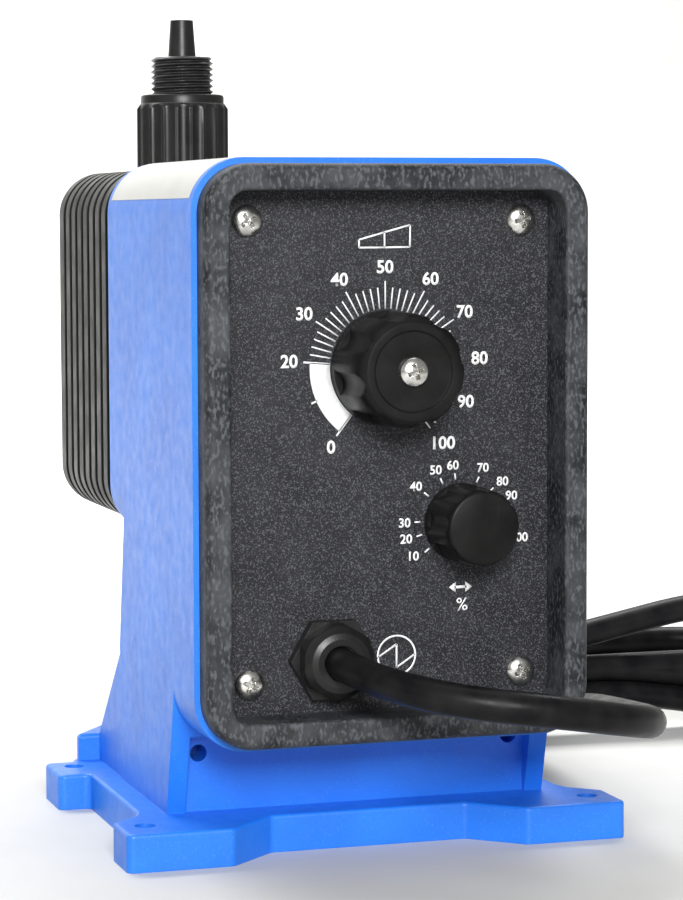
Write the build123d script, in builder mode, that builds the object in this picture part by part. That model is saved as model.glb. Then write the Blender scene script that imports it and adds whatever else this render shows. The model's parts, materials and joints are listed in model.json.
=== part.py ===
from build123d import *
import math
import os

os.makedirs("parts", exist_ok=True)

# Solenoid-driven diaphragm metering pump, as its separate pieces, in millimetres.
# Frame: +X right and -Y towards the operator, who faces the control panel; +Z up.
# Origin: middle of the four holes in the base, on the surface the pump stands on.
# A depth is a distance back from the bezel's front face, which lies HOLES_DEPTH
# in front of the origin.

# --- Base and housing -------------------------------------------------------
HOLES_DEPTH = 84.75          # bezel face to the middle of the base holes
HOLES_WIDE = 152.0           # base hole spacing across
HOLES_DEEP = 105.5           # base hole spacing front to back
BASE_HOLE_R = 3.4
FLANGE_THICK = 12.3
LUG_EDGE = 8.8               # lug beyond its hole, sideways
LUG_STEP = 11.2              # lugs out from the flange between them
FRONT_LUG_AHEAD = 12.8       # lug in front of and behind its hole
FRONT_LUG_BEHIND = 7.7
REAR_LUG_AHEAD = 15.5
REAR_LUG_BEHIND = 9.0
WEB_BEHIND = 22.0            # front holes to the straight flange between the lugs
BASE_BEHIND = 30.5           # rear holes to the rear of the base
BASE_TAPER = 12.0            # how far each rear corner of the base runs in
BASE_CORNER = 2.5
FLANGE_FRONT = 34.5
FLANGE_FRONT_HALF = 33.5
LUG_INNER_HALF = 50.0
HEEL_STEP = 1.5              # raised heel behind the rear lugs, and in from the edge
HEEL_TOP = 21.6
HEEL_EDGE = 1.6
HOUSING_HALF_WIDTH = 65.3
HOUSING_TOP = 224.3
HOUSING_BOTTOM = 38.4
HOUSING_CORNER = 17.0
RIM_DEPTH = 9.6              # front rim of the housing
WAIST_DEPTH = 103.5          # rear of the housing below the solenoid
HOUSING_REAR = 123.0
WAIST_TOP = 102.0
WALL = 5.5
RIM_WALL = 3.4
FLOOR = 6.0
PEDESTAL_FRONT = 48.5
PEDESTAL_CHEEK = 6.3         # width of the side walls that stand proud of it
CHEEK_FOOT_DEPTH = 46.5
CHEEK_HEAD_DEPTH = 35.0
CHEEK_HEAD_Z = 56.0
FLARE_DEPTH = 111.0          # where the pedestal's back turns out to the heel
FLARE_Z = 58.8
GUSSET_STEP = 0.8            # side of the gusset behind it, in from the pedestal's
PEDESTAL_HOLE_X = 54.0
PEDESTAL_HOLE_Z = 31.5
PEDESTAL_HOLE_R = 2.8
PEDESTAL_HOLE_DEEP = 12.0
CHAMBER_REAR = 98.0          # depth of the main chamber's back wall
BULKHEAD = 6.0
NECK_STEP = 3.0              # the chamber's neck inside its wall
BOSS_WEB = 3.0
EDGE = 1.2                   # general moulded edge radius

# --- Bezel and control panel ------------------------------------------------
BEZEL_HALF_WIDTH = 63.5
BEZEL_BOTTOM = 40.2
BEZEL_TOP = 222.4
BEZEL_CORNER = 15.5
BEZEL_BAND = 8.3
WINDOW_CORNER = 6.0
PANEL_DEPTH = 16.5
PANEL_THICK = 2.5
GASKET_THICK = 1.5
GASKET_BAND = 4.0
FIT_GAP = 0.3                # between moulded pieces that nest
SCREW_HALF_X = 45.7
SCREW_LOW_Z = 58.5
SCREW_HIGH_Z = 204.7
SCREW_R = 2.1
SCREW_HEAD_R = 5.0
SCREW_HEAD_TALL = 3.0
SCREW_LONG = 18.0
SCREW_GAP = 0.15             # round a screw's shank
BOSS_R = 5.0
RUNNING_GAP = 0.05           # radial clearance of a running fit

# --- Stroke adjuster, on the drive axis --------------------------------------
AXIS_Z = 158.0
KNOB_LIFT = 0.6              # knob clear of the panel
STROKE_KNOB_R = 18.3
STROKE_KNOB_FACE_R = 15.8
STROKE_KNOB_FRONT = -10.0
STROKE_SCALLOP_R = 5.5
STROKE_SCALLOP_BITE = 2.2
SCALLOPS = 8
KNOB_SKIRT = 3.5             # plain ring left at the foot of a knob
RATE_X = 25.5
RATE_Z = 107.8
RATE_KNOB_R = 12.6
RATE_KNOB_FACE_R = 11.5
RATE_KNOB_FRONT = -3.0
RATE_SCALLOP_R = 4.0
RATE_SCALLOP_BITE = 1.0
KNOB_SCREW_HEAD_R = 4.75
SPINDLE_R = 4.0
BUSHING_R = 7.0
BUSHING_FLANGE_R = 12.0
BUSHING_REAR = 62.0
STOP_R = 5.6
STOP_ROD_R = 4.0
STROKE = 1.19                # full armature stroke
STOP_CLEAR = 0.3

# --- Potentiometer and board -------------------------------------------------
POT_R = 8.0
POT_DEEP = 11.0
POT_BUSH_R = 4.5
POT_SHAFT_R = 3.0
BOARD_DEPTH = 33.0
BOARD_THICK = 1.6
BOARD_X = 20.0
BOARD_Z = 108.0
BOARD_WIDE = 70.0
BOARD_TALL = 44.0
STANDOFF_R = 3.0
STANDOFF_INSET = 4.0         # standoffs in from the board's edges
STANDOFF_BORE_R = 1.6
STANDOFF_BORE_DEEP = 8.0
BOARD_SCREW_R = 1.5
BOARD_SCREW_LONG = 6.0
BOARD_SCREW_HEAD = 2.0
CAPACITOR_R = 8.0
CAPACITOR_TALL = 22.0
CAPACITOR_STEP = 18.0        # centre to centre
CAPACITOR_RISE = 8.0         # above the board's middle
TRIAC_X = 18.0
TRIAC_RISE = 4.0
TRIAC_WIDE = 20.0
TRIAC_THICK = 4.0
TRIAC_TALL = 20.0
FINS = 5
FIN_PITCH = 4.0
FIN_WIDE = 1.5
FIN_LONG = 8.0
TERMINAL_X = -10.0
TERMINAL_DROP = 14.0
TERMINAL_WIDE = 28.0
TERMINAL_DEEP = 9.0
TERMINAL_TALL = 11.0
TERMINAL_PITCH = 9.0
TERMINAL_BORE_R = 2.2
TERMINAL_BORE_DEEP = 5.0

# --- Cord gland and cord -----------------------------------------------------
GLAND_X = -18.5
GLAND_Z = 65.5
GLAND_HEX = 23.0             # nut across flats
GLAND_FLANGE_HEX = 25.0
GLAND_SHANK_R = 7.9
CORD_D = 10.4
CORD_GAP = 0.5               # round the cord in the gland's mouth
HANK_LEFT = 133.0            # X of the fold centres of the cord's hank
HANK_RIGHT = 205.0
HANK_DEPTH = 237.0
HANK_FOLD_R = 32.0
HANK_LAYERS = 4
HANK_SLACK = 1.5             # room round the turns
HANK_LIFT = 11.0             # how far the loose top turn stands up at its right end
PLUG_R = 13.0
PLUG_LONG = 32.0
PLUG_RELIEF = 20.0
BLADE_LONG = 17.5
BLADE_WIDE = 6.3
BLADE_THICK = 1.5
BLADE_HALF = 6.35            # blades either side of the middle
BLADE_RISE = 4.0
PIN_DROP = 7.5               # earth pin
PIN_R = 2.4
PIN_LONG = 20.5

# --- Solenoid ----------------------------------------------------------------
SOLENOID_HALF_WIDTH = 63.5
SOLENOID_BOTTOM = 98.0
SOLENOID_TOP = 222.5
SOLENOID_CORNER = 16.0
SEAL_THICK = 1.0
SOLENOID_REAR = 219.0
GROOVES = 8
GROOVE_PITCH = 9.8
GROOVE_WIDE = 4.2
GROOVE_DEEP = 2.6
FLANGE_LAND = 7.0
REAR_ROUND = 9.0
CAN_R = 52.0                 # bore of the solenoid housing
CAN_REAR_WALL = 10.0
YOKE_WALL = 5.0
SOLENOID_SCREW_HALF = 47.0
SOLENOID_SCREW_REACH = 11.0  # screws into the solenoid housing
COIL_R = 44.0
TUBE_R = 24.0                # guide tube bore
TUBE_WALL = 1.2
BOBBIN_FRONT = 138.0
BOBBIN_REAR = 201.0
BOBBIN_WALL = 1.8
BOBBIN_FLANGE = 3.0
POLE_DISC = 6.0
SHAFT_R = 5.0
SHAFT_REAR = 226.0
BUSH_R = 7.0
BUSH_LONG = 8.0
ARMATURE_FRONT = 134.0
ARMATURE_REAR = 166.0
POLE_GAP = 0.3               # left between armature and pole at full stroke
SPRING_POCKET = 12.0
SPRING_R = 8.6
SPRING_WIRE_R = 0.9
SPRING_TURNS = 4.5

# --- Liquid end --------------------------------------------------------------
ADAPTER_THICK = 14.0
ADAPTER_HALF = 50.0
ADAPTER_BORE_R = 14.0
WEEP_R = 2.0
DIAPHRAGM_R = 38.0
DIAPHRAGM_THICK = 2.4
INSERT_R = 11.0
INSERT_THICK = 4.0
STUD_R = 3.0
STUD_LONG = 10.0
HEAD_HALF = 52.0
HEAD_CORNER = 16.0
HEAD_FLANGE = 16.0
HEAD_SCREW_HALF = 39.0
HEAD_SCREW_R = 2.9
HEAD_SCREW_TIP = 212.0
HEAD_WASHER_R = 6.5
HEAD_WASHER = 1.2
HEAD_CAP_R = 5.2             # socket cap heads
HEAD_CAP_TALL = 5.5
SOCKET_ACROSS = 5.0
SOCKET_DEEP = 3.5
DISPLACEMENT_R = 30.0        # dished chamber in the head's face
DISPLACEMENT_DEEP = 3.0
PASSAGE_R = 4.0
PORT_BOSS_R = 23.0
CARTRIDGE_R = 18.3
CARTRIDGE_TALL = 41.0
COLLAR_R = 16.6
COLLAR_TALL = 3.6
THREAD_R = 12.45
THREAD_TALL = 14.8
SHANK_R = 14.5
SHANK_TALL = 15.0
FLUTES = 14
FLUTE_R = 2.0
SEAL_R = 17.0
SEAL_TALL = 1.0
NOZZLE_ROOT_R = 5.55
NOZZLE_TIP_R = 4.5
NOZZLE_TALL = 14.7
NOZZLE_BORE_R = 2.4
NOZZLE_FLANGE_R = 9.0
NOZZLE_FLANGE = 3.0
BALL_R = 4.76
BALL_LIFT = 1.5
SEAT_BORE_R = 3.2
SEAT_R = 8.0
SEAT_TALL = 5.0
GUIDE_BORE_R = 5.1
GUIDE_ROOF = 2.0
OUTLET_R = 3.5
BALL_GAP = 0.1

# Sizes that follow from those above.
FRONT_HOLES = HOLES_DEPTH - HOLES_DEEP / 2
REAR_HOLES = HOLES_DEPTH + HOLES_DEEP / 2
LUG_HALF_WIDTH = HOLES_WIDE / 2 + LUG_EDGE
WEB_HALF_WIDTH = LUG_HALF_WIDTH - LUG_STEP
LUG_FRONT = FRONT_HOLES - FRONT_LUG_AHEAD
FRONT_LUG_BACK = FRONT_HOLES + FRONT_LUG_BEHIND
WEB_FRONT = FRONT_HOLES + WEB_BEHIND
REAR_LUG_FRONT = REAR_HOLES - REAR_LUG_AHEAD
REAR_LUG_BACK = REAR_HOLES + REAR_LUG_BEHIND
BASE_REAR = REAR_HOLES + BASE_BEHIND
HEEL_FRONT = REAR_LUG_BACK + HEEL_STEP
HEEL_HALF = WEB_HALF_WIDTH - HEEL_STEP
POCKET_HALF = HOUSING_HALF_WIDTH - RIM_WALL
POCKET_BOTTOM = HOUSING_BOTTOM + RIM_WALL
POCKET_TOP = HOUSING_TOP - RIM_WALL
CHAMBER_HALF = HOUSING_HALF_WIDTH - WALL
CHAMBER_BOTTOM = HOUSING_BOTTOM + WALL
CHAMBER_TOP = HOUSING_TOP - WALL
PANEL_BACK = PANEL_DEPTH + PANEL_THICK
LEDGE_DEPTH = PANEL_BACK + GASKET_THICK
HOUSING_OVERHANG = HOUSING_HALF_WIDTH - SOLENOID_HALF_WIDTH
REAR_BOX_BOTTOM = SOLENOID_BOTTOM - HOUSING_OVERHANG
SOLENOID_FRONT = HOUSING_REAR + SEAL_THICK
CAN_REAR = SOLENOID_REAR - CAN_REAR_WALL
ADAPTER_REAR = SOLENOID_REAR + ADAPTER_THICK
HEAD_FRONT = ADAPTER_REAR
FLANGE_REAR = HEAD_FRONT + HEAD_FLANGE
PORT_DEPTH = FLANGE_REAR + PORT_BOSS_R
HEAD_REAR = PORT_DEPTH + PORT_BOSS_R
KNOB_BACK = PANEL_DEPTH - KNOB_LIFT
CORD_R = CORD_D / 2


def y_at(depth):
    """Y of a depth behind the bezel's front face."""
    return depth - HOLES_DEPTH


def upright(depth):
    """Plane facing the operator: x is X, y is Z, and negative extrusions go back."""
    return Plane((0, y_at(depth), 0), x_dir=(1, 0, 0), z_dir=(0, -1, 0))


def disc(x, z, radius, front, back, mode=Mode.ADD):
    """Round bar along Y between two depths."""
    with BuildSketch(upright(front)) as profile:
        with Locations((x, z)):
            Circle(radius)
    extrude(profile.sketch, amount=front - back, mode=mode)


def hexagon(x, z, across_flats, front, back, mode=Mode.ADD):
    """Hexagonal bar along Y between two depths."""
    with BuildSketch(upright(front)) as profile:
        with Locations((x, z)):
            RegularPolygon(across_flats / 2, 6, major_radius=False)
    extrude(profile.sketch, amount=front - back, mode=mode)


def bars(places, radius, front, back, mode=Mode.ADD):
    """Round bars along Y at several (x, z) places."""
    with BuildSketch(upright(front)) as profile:
        with Locations(*places):
            Circle(radius)
    extrude(profile.sketch, amount=front - back, mode=mode)


def plate(half_width, bottom, top, corner, front, back, mode=Mode.ADD):
    """Rounded rectangular slab, centred on X = 0, between two depths."""
    with BuildSketch(upright(front)) as profile:
        with Locations((0, (bottom + top) / 2)):
            RectangleRounded(2 * half_width, top - bottom, corner)
    extrude(profile.sketch, amount=front - back, mode=mode)


def turned(x, z, corners, mode=Mode.ADD):
    """Body of revolution about a Y axis, from (radius, depth) corners."""
    with BuildSketch(Plane((x, 0, z), x_dir=(1, 0, 0), z_dir=(0, 0, 1))) as profile:
        with BuildLine():
            Polyline(*[(radius, y_at(depth)) for radius, depth in corners], close=True)
        make_face()
    revolve(profile.sketch, axis=Axis((x, 0, z), (0, 1, 0)), mode=mode)


def upright_turned(depth, corners, mode=Mode.ADD):
    """Body of revolution about a Z axis at X = 0, from (radius, z) corners."""
    with BuildSketch(Plane((0, y_at(depth), 0), x_dir=(1, 0, 0), z_dir=(0, -1, 0))) as profile:
        with BuildLine():
            Polyline(*corners, close=True)
        make_face()
    revolve(profile.sketch, axis=Axis((0, y_at(depth), 0), (0, 0, 1)), mode=mode)


def keep(builder, label):
    """Name the piece and write it."""
    builder.part.label = label
    export_step(builder.part, f"parts/{label}.step")


PANEL_SCREWS = [(sx * SCREW_HALF_X, z) for sx in (-1, 1) for z in (SCREW_LOW_Z, SCREW_HIGH_Z)]
SOLENOID_SCREWS = [
    (sx * SOLENOID_SCREW_HALF, AXIS_Z + sz * SOLENOID_SCREW_HALF)
    for sx in (-1, 1)
    for sz in (-1, 1)
]
HEAD_SCREWS = [
    (sx * HEAD_SCREW_HALF, AXIS_Z + sz * HEAD_SCREW_HALF) for sx in (-1, 1) for sz in (-1, 1)
]

# --- Drive housing: base flange, pedestal and the box behind the bezel --------
half_outline = [
    (FLANGE_FRONT_HALF, FLANGE_FRONT),
    (LUG_INNER_HALF, LUG_FRONT),
    (LUG_HALF_WIDTH, LUG_FRONT),
    (LUG_HALF_WIDTH, FRONT_LUG_BACK),
    (WEB_HALF_WIDTH + 2, WEB_FRONT - 6),
    (WEB_HALF_WIDTH, WEB_FRONT),
    (WEB_HALF_WIDTH, REAR_LUG_FRONT),
    (LUG_HALF_WIDTH, REAR_LUG_FRONT),
    (LUG_HALF_WIDTH, REAR_LUG_BACK),
    (WEB_HALF_WIDTH, REAR_LUG_BACK),
    (WEB_HALF_WIDTH, HEEL_FRONT + BASE_CORNER),
    (WEB_HALF_WIDTH - BASE_TAPER, BASE_REAR),
]
heel_outline = [
    (HEEL_HALF, HEEL_FRONT),
    (HEEL_HALF, HEEL_FRONT + BASE_CORNER),
    (HEEL_HALF - BASE_TAPER, BASE_REAR - HEEL_STEP),
]
heel_outline += [(-x, depth) for x, depth in reversed(heel_outline)]
outline = half_outline + [(-x, depth) for x, depth in reversed(half_outline)]

with BuildPart() as drive_housing:
    with BuildSketch():
        with BuildLine():
            Polyline(*[(x, y_at(depth)) for x, depth in outline], close=True)
        make_face()
        fillet(vertices(), radius=BASE_CORNER)
    extrude(amount=FLANGE_THICK)
    fillet(drive_housing.faces().sort_by(Axis.Z)[-1].edges(), radius=EDGE)
    # raised heel across the back of the base
    with BuildSketch():
        with BuildLine():
            Polyline(*[(x, y_at(depth)) for x, depth in heel_outline], close=True)
        make_face()
    extrude(amount=HEEL_TOP)
    fillet(drive_housing.faces().sort_by(Axis.Z)[-1].edges(), radius=HEEL_EDGE)
    with GridLocations(HOLES_WIDE, HOLES_DEEP, 2, 2):
        Hole(BASE_HOLE_R)
    # box behind the bezel, full height to the waist and matched to the solenoid behind it
    plate(HOUSING_HALF_WIDTH, HOUSING_BOTTOM, HOUSING_TOP, HOUSING_CORNER, RIM_DEPTH, WAIST_DEPTH)
    plate(
        HOUSING_HALF_WIDTH, REAR_BOX_BOTTOM, HOUSING_TOP, HOUSING_CORNER, WAIST_DEPTH, HOUSING_REAR
    )
    # pedestal: its side profile, swept across the width
    with BuildSketch(Plane.YZ.offset(-HOUSING_HALF_WIDTH)):
        with BuildLine():
            Polyline(
                (y_at(FLARE_DEPTH), FLARE_Z),
                (y_at(WAIST_DEPTH), WAIST_TOP),
                (y_at(CHEEK_HEAD_DEPTH), WAIST_TOP),
                (y_at(CHEEK_HEAD_DEPTH), CHEEK_HEAD_Z),
                (y_at(CHEEK_FOOT_DEPTH), FLANGE_THICK),
                (y_at(FLARE_DEPTH), FLANGE_THICK),
                close=True,
            )
        make_face()
    extrude(amount=2 * HOUSING_HALF_WIDTH)
    # gusset from its back down to the heel
    with BuildSketch(Plane.YZ.offset(GUSSET_STEP - HOUSING_HALF_WIDTH)):
        with BuildLine():
            Polyline(
                (y_at(FLARE_DEPTH), FLANGE_THICK),
                (y_at(FLARE_DEPTH), FLARE_Z),
                (y_at(HEEL_FRONT), HEEL_TOP),
                (y_at(HEEL_FRONT + HEEL_EDGE), HEEL_TOP),
                (y_at(HEEL_FRONT + HEEL_EDGE), FLANGE_THICK),
                close=True,
            )
        make_face()
    extrude(amount=2 * (HOUSING_HALF_WIDTH - GUSSET_STEP))
    # front face of the pedestal, set back between its cheeks
    with BuildSketch(Plane.XY.offset(FLANGE_THICK)):
        with Locations((0, y_at((PEDESTAL_FRONT + FLANGE_FRONT) / 2))):
            Rectangle(
                2 * (HOUSING_HALF_WIDTH - PEDESTAL_CHEEK), PEDESTAL_FRONT - FLANGE_FRONT
            )
    extrude(amount=HOUSING_BOTTOM - FLANGE_THICK, mode=Mode.SUBTRACT)
    # pocket for bezel, panel and gasket, then the main and lower chambers
    plate(
        POCKET_HALF, POCKET_BOTTOM, POCKET_TOP, HOUSING_CORNER - RIM_WALL,
        RIM_DEPTH, LEDGE_DEPTH, Mode.SUBTRACT,
    )
    plate(
        CHAMBER_HALF, CHAMBER_BOTTOM, CHAMBER_TOP, HOUSING_CORNER - WALL,
        LEDGE_DEPTH, CHAMBER_REAR, Mode.SUBTRACT,
    )
    plate(
        CHAMBER_HALF - NECK_STEP, REAR_BOX_BOTTOM + WALL + NECK_STEP, CHAMBER_TOP - NECK_STEP,
        HOUSING_CORNER - WALL, CHAMBER_REAR, HOUSING_REAR - BULKHEAD, Mode.SUBTRACT,
    )
    with BuildSketch(Plane.XY.offset(FLOOR)):
        with Locations((0, y_at((PEDESTAL_FRONT + FLARE_DEPTH) / 2))):
            Rectangle(
                2 * (PEDESTAL_HOLE_X - PEDESTAL_HOLE_R - 2),
                FLARE_DEPTH - PEDESTAL_FRONT - 3 * WALL,
            )
    extrude(amount=CHAMBER_BOTTOM - FLOOR + 1, mode=Mode.SUBTRACT)
    # bosses that take the panel screws, tied to the side walls by webs
    bars(PANEL_SCREWS, BOSS_R, LEDGE_DEPTH, CHAMBER_REAR)
    with BuildSketch(upright(LEDGE_DEPTH)):
        for boss_x, boss_z in PANEL_SCREWS:
            with Locations((math.copysign((SCREW_HALF_X + CHAMBER_HALF) / 2, boss_x), boss_z)):
                Rectangle(CHAMBER_HALF - SCREW_HALF_X, BOSS_WEB)
    extrude(amount=LEDGE_DEPTH - CHAMBER_REAR)
    bars(PANEL_SCREWS, SCREW_R + SCREW_GAP, LEDGE_DEPTH, PANEL_DEPTH + SCREW_LONG + 2, Mode.SUBTRACT)
    # way through for the stop rod, and the solenoid's screw holes
    disc(0, AXIS_Z, CAN_R / 2, CHAMBER_REAR, HOUSING_REAR, Mode.SUBTRACT)
    bars(SOLENOID_SCREWS, SCREW_R + SCREW_GAP, CHAMBER_REAR, HOUSING_REAR, Mode.SUBTRACT)
    bars(
        [(-PEDESTAL_HOLE_X, PEDESTAL_HOLE_Z), (PEDESTAL_HOLE_X, PEDESTAL_HOLE_Z)],
        PEDESTAL_HOLE_R,
        PEDESTAL_FRONT,
        PEDESTAL_FRONT + PEDESTAL_HOLE_DEEP,
        Mode.SUBTRACT,
    )
keep(drive_housing, "drive_housing")

# --- Bezel, gasket and control panel ------------------------------------------
WINDOW_HALF = BEZEL_HALF_WIDTH - BEZEL_BAND
WINDOW_BOTTOM = BEZEL_BOTTOM + BEZEL_BAND
WINDOW_TOP = BEZEL_TOP - BEZEL_BAND
PANEL_HALF = POCKET_HALF - FIT_GAP
PANEL_BOTTOM = POCKET_BOTTOM + FIT_GAP
PANEL_TOP = POCKET_TOP - FIT_GAP
PANEL_CORNER = HOUSING_CORNER - RIM_WALL - FIT_GAP

with BuildPart() as panel_bezel:
    plate(BEZEL_HALF_WIDTH, BEZEL_BOTTOM, BEZEL_TOP, BEZEL_CORNER, 0, RIM_DEPTH)
    plate(PANEL_HALF, PANEL_BOTTOM, PANEL_TOP, PANEL_CORNER, RIM_DEPTH, PANEL_DEPTH)
    plate(WINDOW_HALF, WINDOW_BOTTOM, WINDOW_TOP, WINDOW_CORNER, 0, PANEL_DEPTH, Mode.SUBTRACT)
    front_face = panel_bezel.faces().sort_by(Axis.Y)[0]
    fillet(front_face.outer_wire().edges(), radius=3)
    front_face = panel_bezel.faces().sort_by(Axis.Y)[0]
    fillet(front_face.inner_wires()[0].edges(), radius=EDGE)
keep(panel_bezel, "panel_bezel")

with BuildPart() as panel_gasket:
    plate(PANEL_HALF, PANEL_BOTTOM, PANEL_TOP, PANEL_CORNER, PANEL_BACK, LEDGE_DEPTH)
    plate(
        PANEL_HALF - GASKET_BAND, PANEL_BOTTOM + GASKET_BAND, PANEL_TOP - GASKET_BAND,
        PANEL_CORNER - GASKET_BAND, PANEL_BACK, LEDGE_DEPTH, Mode.SUBTRACT,
    )
keep(panel_gasket, "panel_gasket")

with BuildPart() as control_panel:
    plate(PANEL_HALF, PANEL_BOTTOM, PANEL_TOP, PANEL_CORNER, PANEL_DEPTH, PANEL_BACK)
    bars(PANEL_SCREWS, SCREW_R + SCREW_GAP, PANEL_DEPTH, PANEL_BACK, Mode.SUBTRACT)
    disc(0, AXIS_Z, BUSHING_R + SCREW_GAP, PANEL_DEPTH, PANEL_BACK, Mode.SUBTRACT)
    disc(RATE_X, RATE_Z, POT_BUSH_R + SCREW_GAP, PANEL_DEPTH, PANEL_BACK, Mode.SUBTRACT)
    disc(GLAND_X, GLAND_Z, GLAND_SHANK_R + SCREW_GAP, PANEL_DEPTH, PANEL_BACK, Mode.SUBTRACT)
keep(control_panel, "control_panel")


def domed_screw(x, z, head_r, head_tall, shank_r, seat, tip):
    """Pan head with its rounded edge, and a plain shank, pointing back from its seat."""
    turned(x, z, [
        (0, seat - head_tall), (head_r * 0.55, seat - head_tall * 0.93),
        (head_r * 0.88, seat - head_tall * 0.6), (head_r, seat - head_tall * 0.2),
        (head_r, seat), (shank_r, seat), (shank_r, tip), (0, tip),
    ])


with BuildPart() as panel_screws:
    for screw_x, screw_z in PANEL_SCREWS:
        domed_screw(
            screw_x, screw_z, SCREW_HEAD_R, SCREW_HEAD_TALL, SCREW_R,
            PANEL_DEPTH, PANEL_DEPTH + SCREW_LONG,
        )
keep(panel_screws, "panel_screws")

# --- Cord gland -----------------------------------------------------------------
GLAND_FRONT = 4.7
GLAND_FACE_R = 7.8           # flat front of the nut, then its dome
GLAND_DOME = [(9.6, 0.6), (11.7, 2.5)]
GLAND_SHOULDER = 4.0
GLAND_CORNER_R = 12.5        # the hexagon's corners are turned down to this
GLAND_LIP = 1.5
GLAND_SEAL_THICK = 3.0
GLAND_FLANGE_DEPTH = 12.5
GLAND_NOSE_R = 9.4
GLAND_SHANK_REAR = 11.0      # shank and its locknut behind the panel
GLAND_LOCKNUT = 5.0
GLAND_LIP_DEPTH = GLAND_FRONT + GLAND_LIP
GLAND_NOSE_DEPTH = GLAND_LIP_DEPTH + GLAND_SEAL_THICK
GLAND_MOUTH_R = CORD_R + CORD_GAP
GLAND_REAR = PANEL_BACK + GLAND_SHANK_REAR

with BuildPart() as gland_body:
    hexagon(GLAND_X, GLAND_Z, GLAND_FLANGE_HEX, GLAND_FLANGE_DEPTH, PANEL_DEPTH)
    disc(GLAND_X, GLAND_Z, GLAND_NOSE_R, GLAND_NOSE_DEPTH, GLAND_FLANGE_DEPTH)
    disc(GLAND_X, GLAND_Z, GLAND_SHANK_R, PANEL_DEPTH, GLAND_REAR)
    disc(GLAND_X, GLAND_Z, GLAND_MOUTH_R, GLAND_NOSE_DEPTH, GLAND_REAR, Mode.SUBTRACT)
keep(gland_body, "gland_body")

with BuildPart() as gland_seal:
    disc(GLAND_X, GLAND_Z, GLAND_NOSE_R, GLAND_LIP_DEPTH, GLAND_NOSE_DEPTH)
    disc(GLAND_X, GLAND_Z, CORD_R, GLAND_LIP_DEPTH, GLAND_NOSE_DEPTH, Mode.SUBTRACT)
keep(gland_seal, "gland_seal")

with BuildPart() as gland_nut:
    turned(GLAND_X, GLAND_Z, [
        (0, GLAND_FRONT), (GLAND_FACE_R, GLAND_FRONT),
        *[(radius, GLAND_FRONT + back) for radius, back in GLAND_DOME],
        (GLAND_CORNER_R, GLAND_FRONT + GLAND_SHOULDER),
        (GLAND_CORNER_R, GLAND_FLANGE_DEPTH), (0, GLAND_FLANGE_DEPTH),
    ])
    with BuildSketch(upright(GLAND_FRONT)):
        with Locations((GLAND_X, GLAND_Z)):
            RegularPolygon(GLAND_HEX / 2, 6, major_radius=False, rotation=30)
    extrude(amount=GLAND_FRONT - GLAND_FLANGE_DEPTH, mode=Mode.INTERSECT)
    disc(
        GLAND_X, GLAND_Z, GLAND_NOSE_R + SCREW_GAP, GLAND_LIP_DEPTH, GLAND_FLANGE_DEPTH,
        Mode.SUBTRACT,
    )
    disc(GLAND_X, GLAND_Z, GLAND_MOUTH_R, GLAND_FRONT, GLAND_LIP_DEPTH, Mode.SUBTRACT)
keep(gland_nut, "gland_nut")

with BuildPart() as gland_locknut:
    locknut_rear = PANEL_BACK + GLAND_LOCKNUT
    hexagon(GLAND_X, GLAND_Z, GLAND_HEX - 1, PANEL_BACK, locknut_rear)
    disc(
        GLAND_X, GLAND_Z, GLAND_SHANK_R + SCREW_GAP, PANEL_BACK, locknut_rear, Mode.SUBTRACT
    )
keep(gland_locknut, "gland_locknut")

# --- Stroke adjuster ---------------------------------------------------------------
NUT_THICK = 3.0
SPINDLE_THREAD_R = 3.0
SPINDLE_REAR = 78.0
COLLAR_DEPTH = 30.0          # spindle collar that holds it in the bushing
STOP_FRONT = 52.0
SHAFT_FRONT = 128.0

with BuildPart() as adjuster_bushing:
    disc(0, AXIS_Z, BUSHING_R, PANEL_DEPTH - NUT_THICK - 1, PANEL_BACK)
    disc(0, AXIS_Z, BUSHING_FLANGE_R, PANEL_BACK, PANEL_BACK + 4)
    disc(0, AXIS_Z, BUSHING_R + 2, PANEL_BACK + 4, BUSHING_REAR)
    disc(
        0, AXIS_Z, SPINDLE_R + RUNNING_GAP, PANEL_DEPTH - NUT_THICK - 1, COLLAR_DEPTH,
        Mode.SUBTRACT,
    )
    disc(0, AXIS_Z, STOP_R + RUNNING_GAP, COLLAR_DEPTH, BUSHING_REAR, Mode.SUBTRACT)
keep(adjuster_bushing, "adjuster_bushing")

with BuildPart() as adjuster_nut:
    hexagon(0, AXIS_Z, 2 * BUSHING_R + 5, PANEL_DEPTH - NUT_THICK, PANEL_DEPTH)
    disc(
        0, AXIS_Z, BUSHING_R + SCREW_GAP, PANEL_DEPTH - NUT_THICK, PANEL_DEPTH, Mode.SUBTRACT
    )
keep(adjuster_nut, "adjuster_nut")

KNOB_RECESS_R = BUSHING_R + 6.5
KNOB_RECESS_DEEP = NUT_THICK + 2.0
SPINDLE_FRONT = -4.0

with BuildPart() as adjuster_spindle:
    disc(0, AXIS_Z, SPINDLE_R, SPINDLE_FRONT, COLLAR_DEPTH + STOP_CLEAR)
    disc(0, AXIS_Z, STOP_R - STOP_CLEAR, COLLAR_DEPTH + STOP_CLEAR, COLLAR_DEPTH + 3)
    disc(0, AXIS_Z, SPINDLE_THREAD_R, COLLAR_DEPTH + 3, SPINDLE_REAR)
    disc(0, AXIS_Z, SCREW_R + SCREW_GAP, SPINDLE_FRONT, SPINDLE_FRONT + 9, Mode.SUBTRACT)
keep(adjuster_spindle, "adjuster_spindle")

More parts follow.
